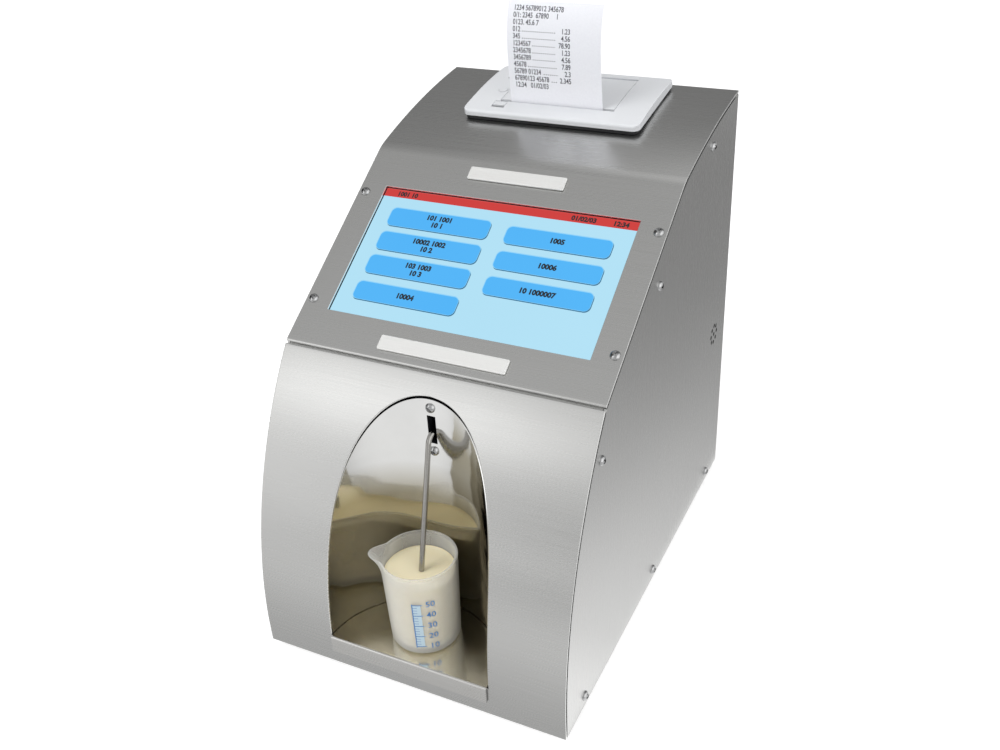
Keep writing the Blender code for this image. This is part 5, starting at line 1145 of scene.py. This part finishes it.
def stepped(tree, level, value, low, high, start, end, kind="MULTIPLY"):
    """A level multiplied by a soft step of a value, or with the step added."""
    step = add(tree, "MapRange", {"Value": value, "From Min": low, "From Max": high,
                                  "To Min": start, "To Max": end}, interpolation_type="SMOOTHSTEP")
    return add(tree, "Math", {0: level, 1: step}, operation=kind)


def dimmed(tree, level, parts, x_low, x_high, share, y_low, y_high):
    """A level that loses a share where x is high and y is low."""
    front = stepped(tree, 1.0, parts["Y"], y_low, y_high, 1.0, 0.0)
    loss = stepped(tree, front, parts["X"], x_low, x_high, 0.0, share)
    rest = add(tree, "Math", {0: 1.0, 1: loss}, operation="SUBTRACT")
    return add(tree, "Math", {0: level, 1: rest}, operation="MULTIPLY")


way = add(tree, "TexCoord").outputs["Generated"]
parts = add(tree, "SeparateXYZ", {0: way}).outputs
level = shaded(tree, parts["Y"], ROOM_LIGHT)
# darker far left and, in front, towards the right; bright far right, for the sheets' edges
level = stepped(tree, level, parts["X"], -0.86, -0.64, 0.14, 1.0)
level = dimmed(tree, level, parts, -0.58, -0.3, 0.36, -0.6, -0.35)
level = stepped(tree, level, parts["X"], 0.4, 0.7, 0.0, 0.9, "ADD")
for aim, wide, core, strength in (((-0.46, -0.76, 0.459), 0.978, 0.9997, 1.0),
                                  ((-0.15, 0.42, 0.895), 0.953, 0.992, 0.5)):
    near = add(tree, "VectorMath", {0: way, 1: aim}, operation="DOT_PRODUCT")
    level = stepped(tree, level, near.outputs["Value"], wide, core, 0.0, strength, "ADD")
# straight on and through the beaker it is a white backdrop; metal mirrors the grey room itself
path = add(tree, "LightPath")
seen = add(tree, "Math", {0: path.outputs["Is Camera Ray"],
                          1: path.outputs["Is Transmission Ray"]}, operation="MAXIMUM")
level = add(tree, "Mix", {0: seen, 2: level, 3: 1.0})
glow = add(tree, "Background", {"Color": (1, 1, 1, 1), "Strength": level})
add(tree, "OutputWorld", {0: glow})


def lamp(name, place, aim, size, power):
    """A soft square lamp that looks at a place and that metal doesn't mirror."""
    light = bpy.data.lights.new(name, "AREA")
    light.shape, light.size, light.energy = "SQUARE", size, power
    holder = linked(name, light)
    holder.location = place
    holder.rotation_euler = (Vector(aim) - Vector(place)).to_track_quat("-Z", "Y").to_euler()
    holder.visible_glossy = False


lamp("key_lamp", (-0.8, -0.9, 1.6), (0, 0, 0.1), 1.0, 11.0)
lamp("top_lamp", (0.05, 0.30, 1.9), (0, 0.03, 0.2), 0.45, 5.0)


def board(name, low, high, levels, fade):
    """A board on the floor that only metal mirrors; its light runs from front to back."""
    finish, tree, place = blank(name)
    place = add(tree, "SeparateXYZ", {0: place}).outputs
    level = shaded(tree, place["Y"], levels)
    level = dimmed(tree, level, place, *fade)
    glow = add(tree, "Emission", {"Color": (1, 1, 1, 1), "Strength": level})
    add(tree, "OutputMaterial", {0: glow})
    data = bpy.data.meshes.new(name)
    corners = (low, (high[0], low[1]), high, (low[0], high[1]))
    data.from_pydata([(x, y, 0.0005) for x, y in corners], [], [(0, 1, 2, 3)])
    data.materials.append(finish)
    card = linked(name, data)
    card.visible_camera = card.visible_diffuse = card.visible_shadow = False
    card.visible_transmission = False


board("grey_board_in_front", (-1.6, -1.6), (1.0, -0.142),
      ((-1.6, 1.0), (-0.8, 0.95), (-0.6, 0.92), (-0.4, 0.90), (-0.28, 0.86), (-0.23, 0.82),
       (-0.2, 0.75), (-0.185, 0.70), (-0.17, 0.66), (-0.155, 0.62), (-0.142, 0.58)),
      (-0.45, 0.0, 0.38, -0.6, -0.25))
board("grey_board_at_right", (0.096, -0.142), (1.2, 1.2),
      ((-0.142, 1.3), (-0.1, 1.22), (-0.058, 1.0), (0.0, 0.88), (0.05, 0.77), (0.1, 0.68),
       (0.18, 0.56), (0.23, 0.50), (0.3, 0.45), (0.4, 0.40), (0.7, 0.37), (1.2, 0.35)),
      (0.12, 0.20, 0.2, 8.0, 9.0))

eye = bpy.data.cameras.new("camera")
eye.sensor_width = 36
eye.lens = 39.05
camera = linked("camera", eye)
azimuth, elevation, roll = (math.radians(a) for a in (27.6, 30.9, -3.3))
back = Vector((math.sin(azimuth) * math.cos(elevation), -math.cos(azimuth) * math.cos(elevation),
               math.sin(elevation)))
right = Vector((math.cos(azimuth), math.sin(azimuth), 0))
up = back.cross(right)
right, up = (right * math.cos(roll) + up * math.sin(roll),
             up * math.cos(roll) - right * math.sin(roll))
turn = Matrix((right, up, back)).transposed().to_4x4()
camera.matrix_world = Matrix.Translation((0.2500, -0.4908, 0.4566)) @ turn
bpy.context.scene.camera = camera
bpy.context.scene.view_settings.view_transform = "Standard"
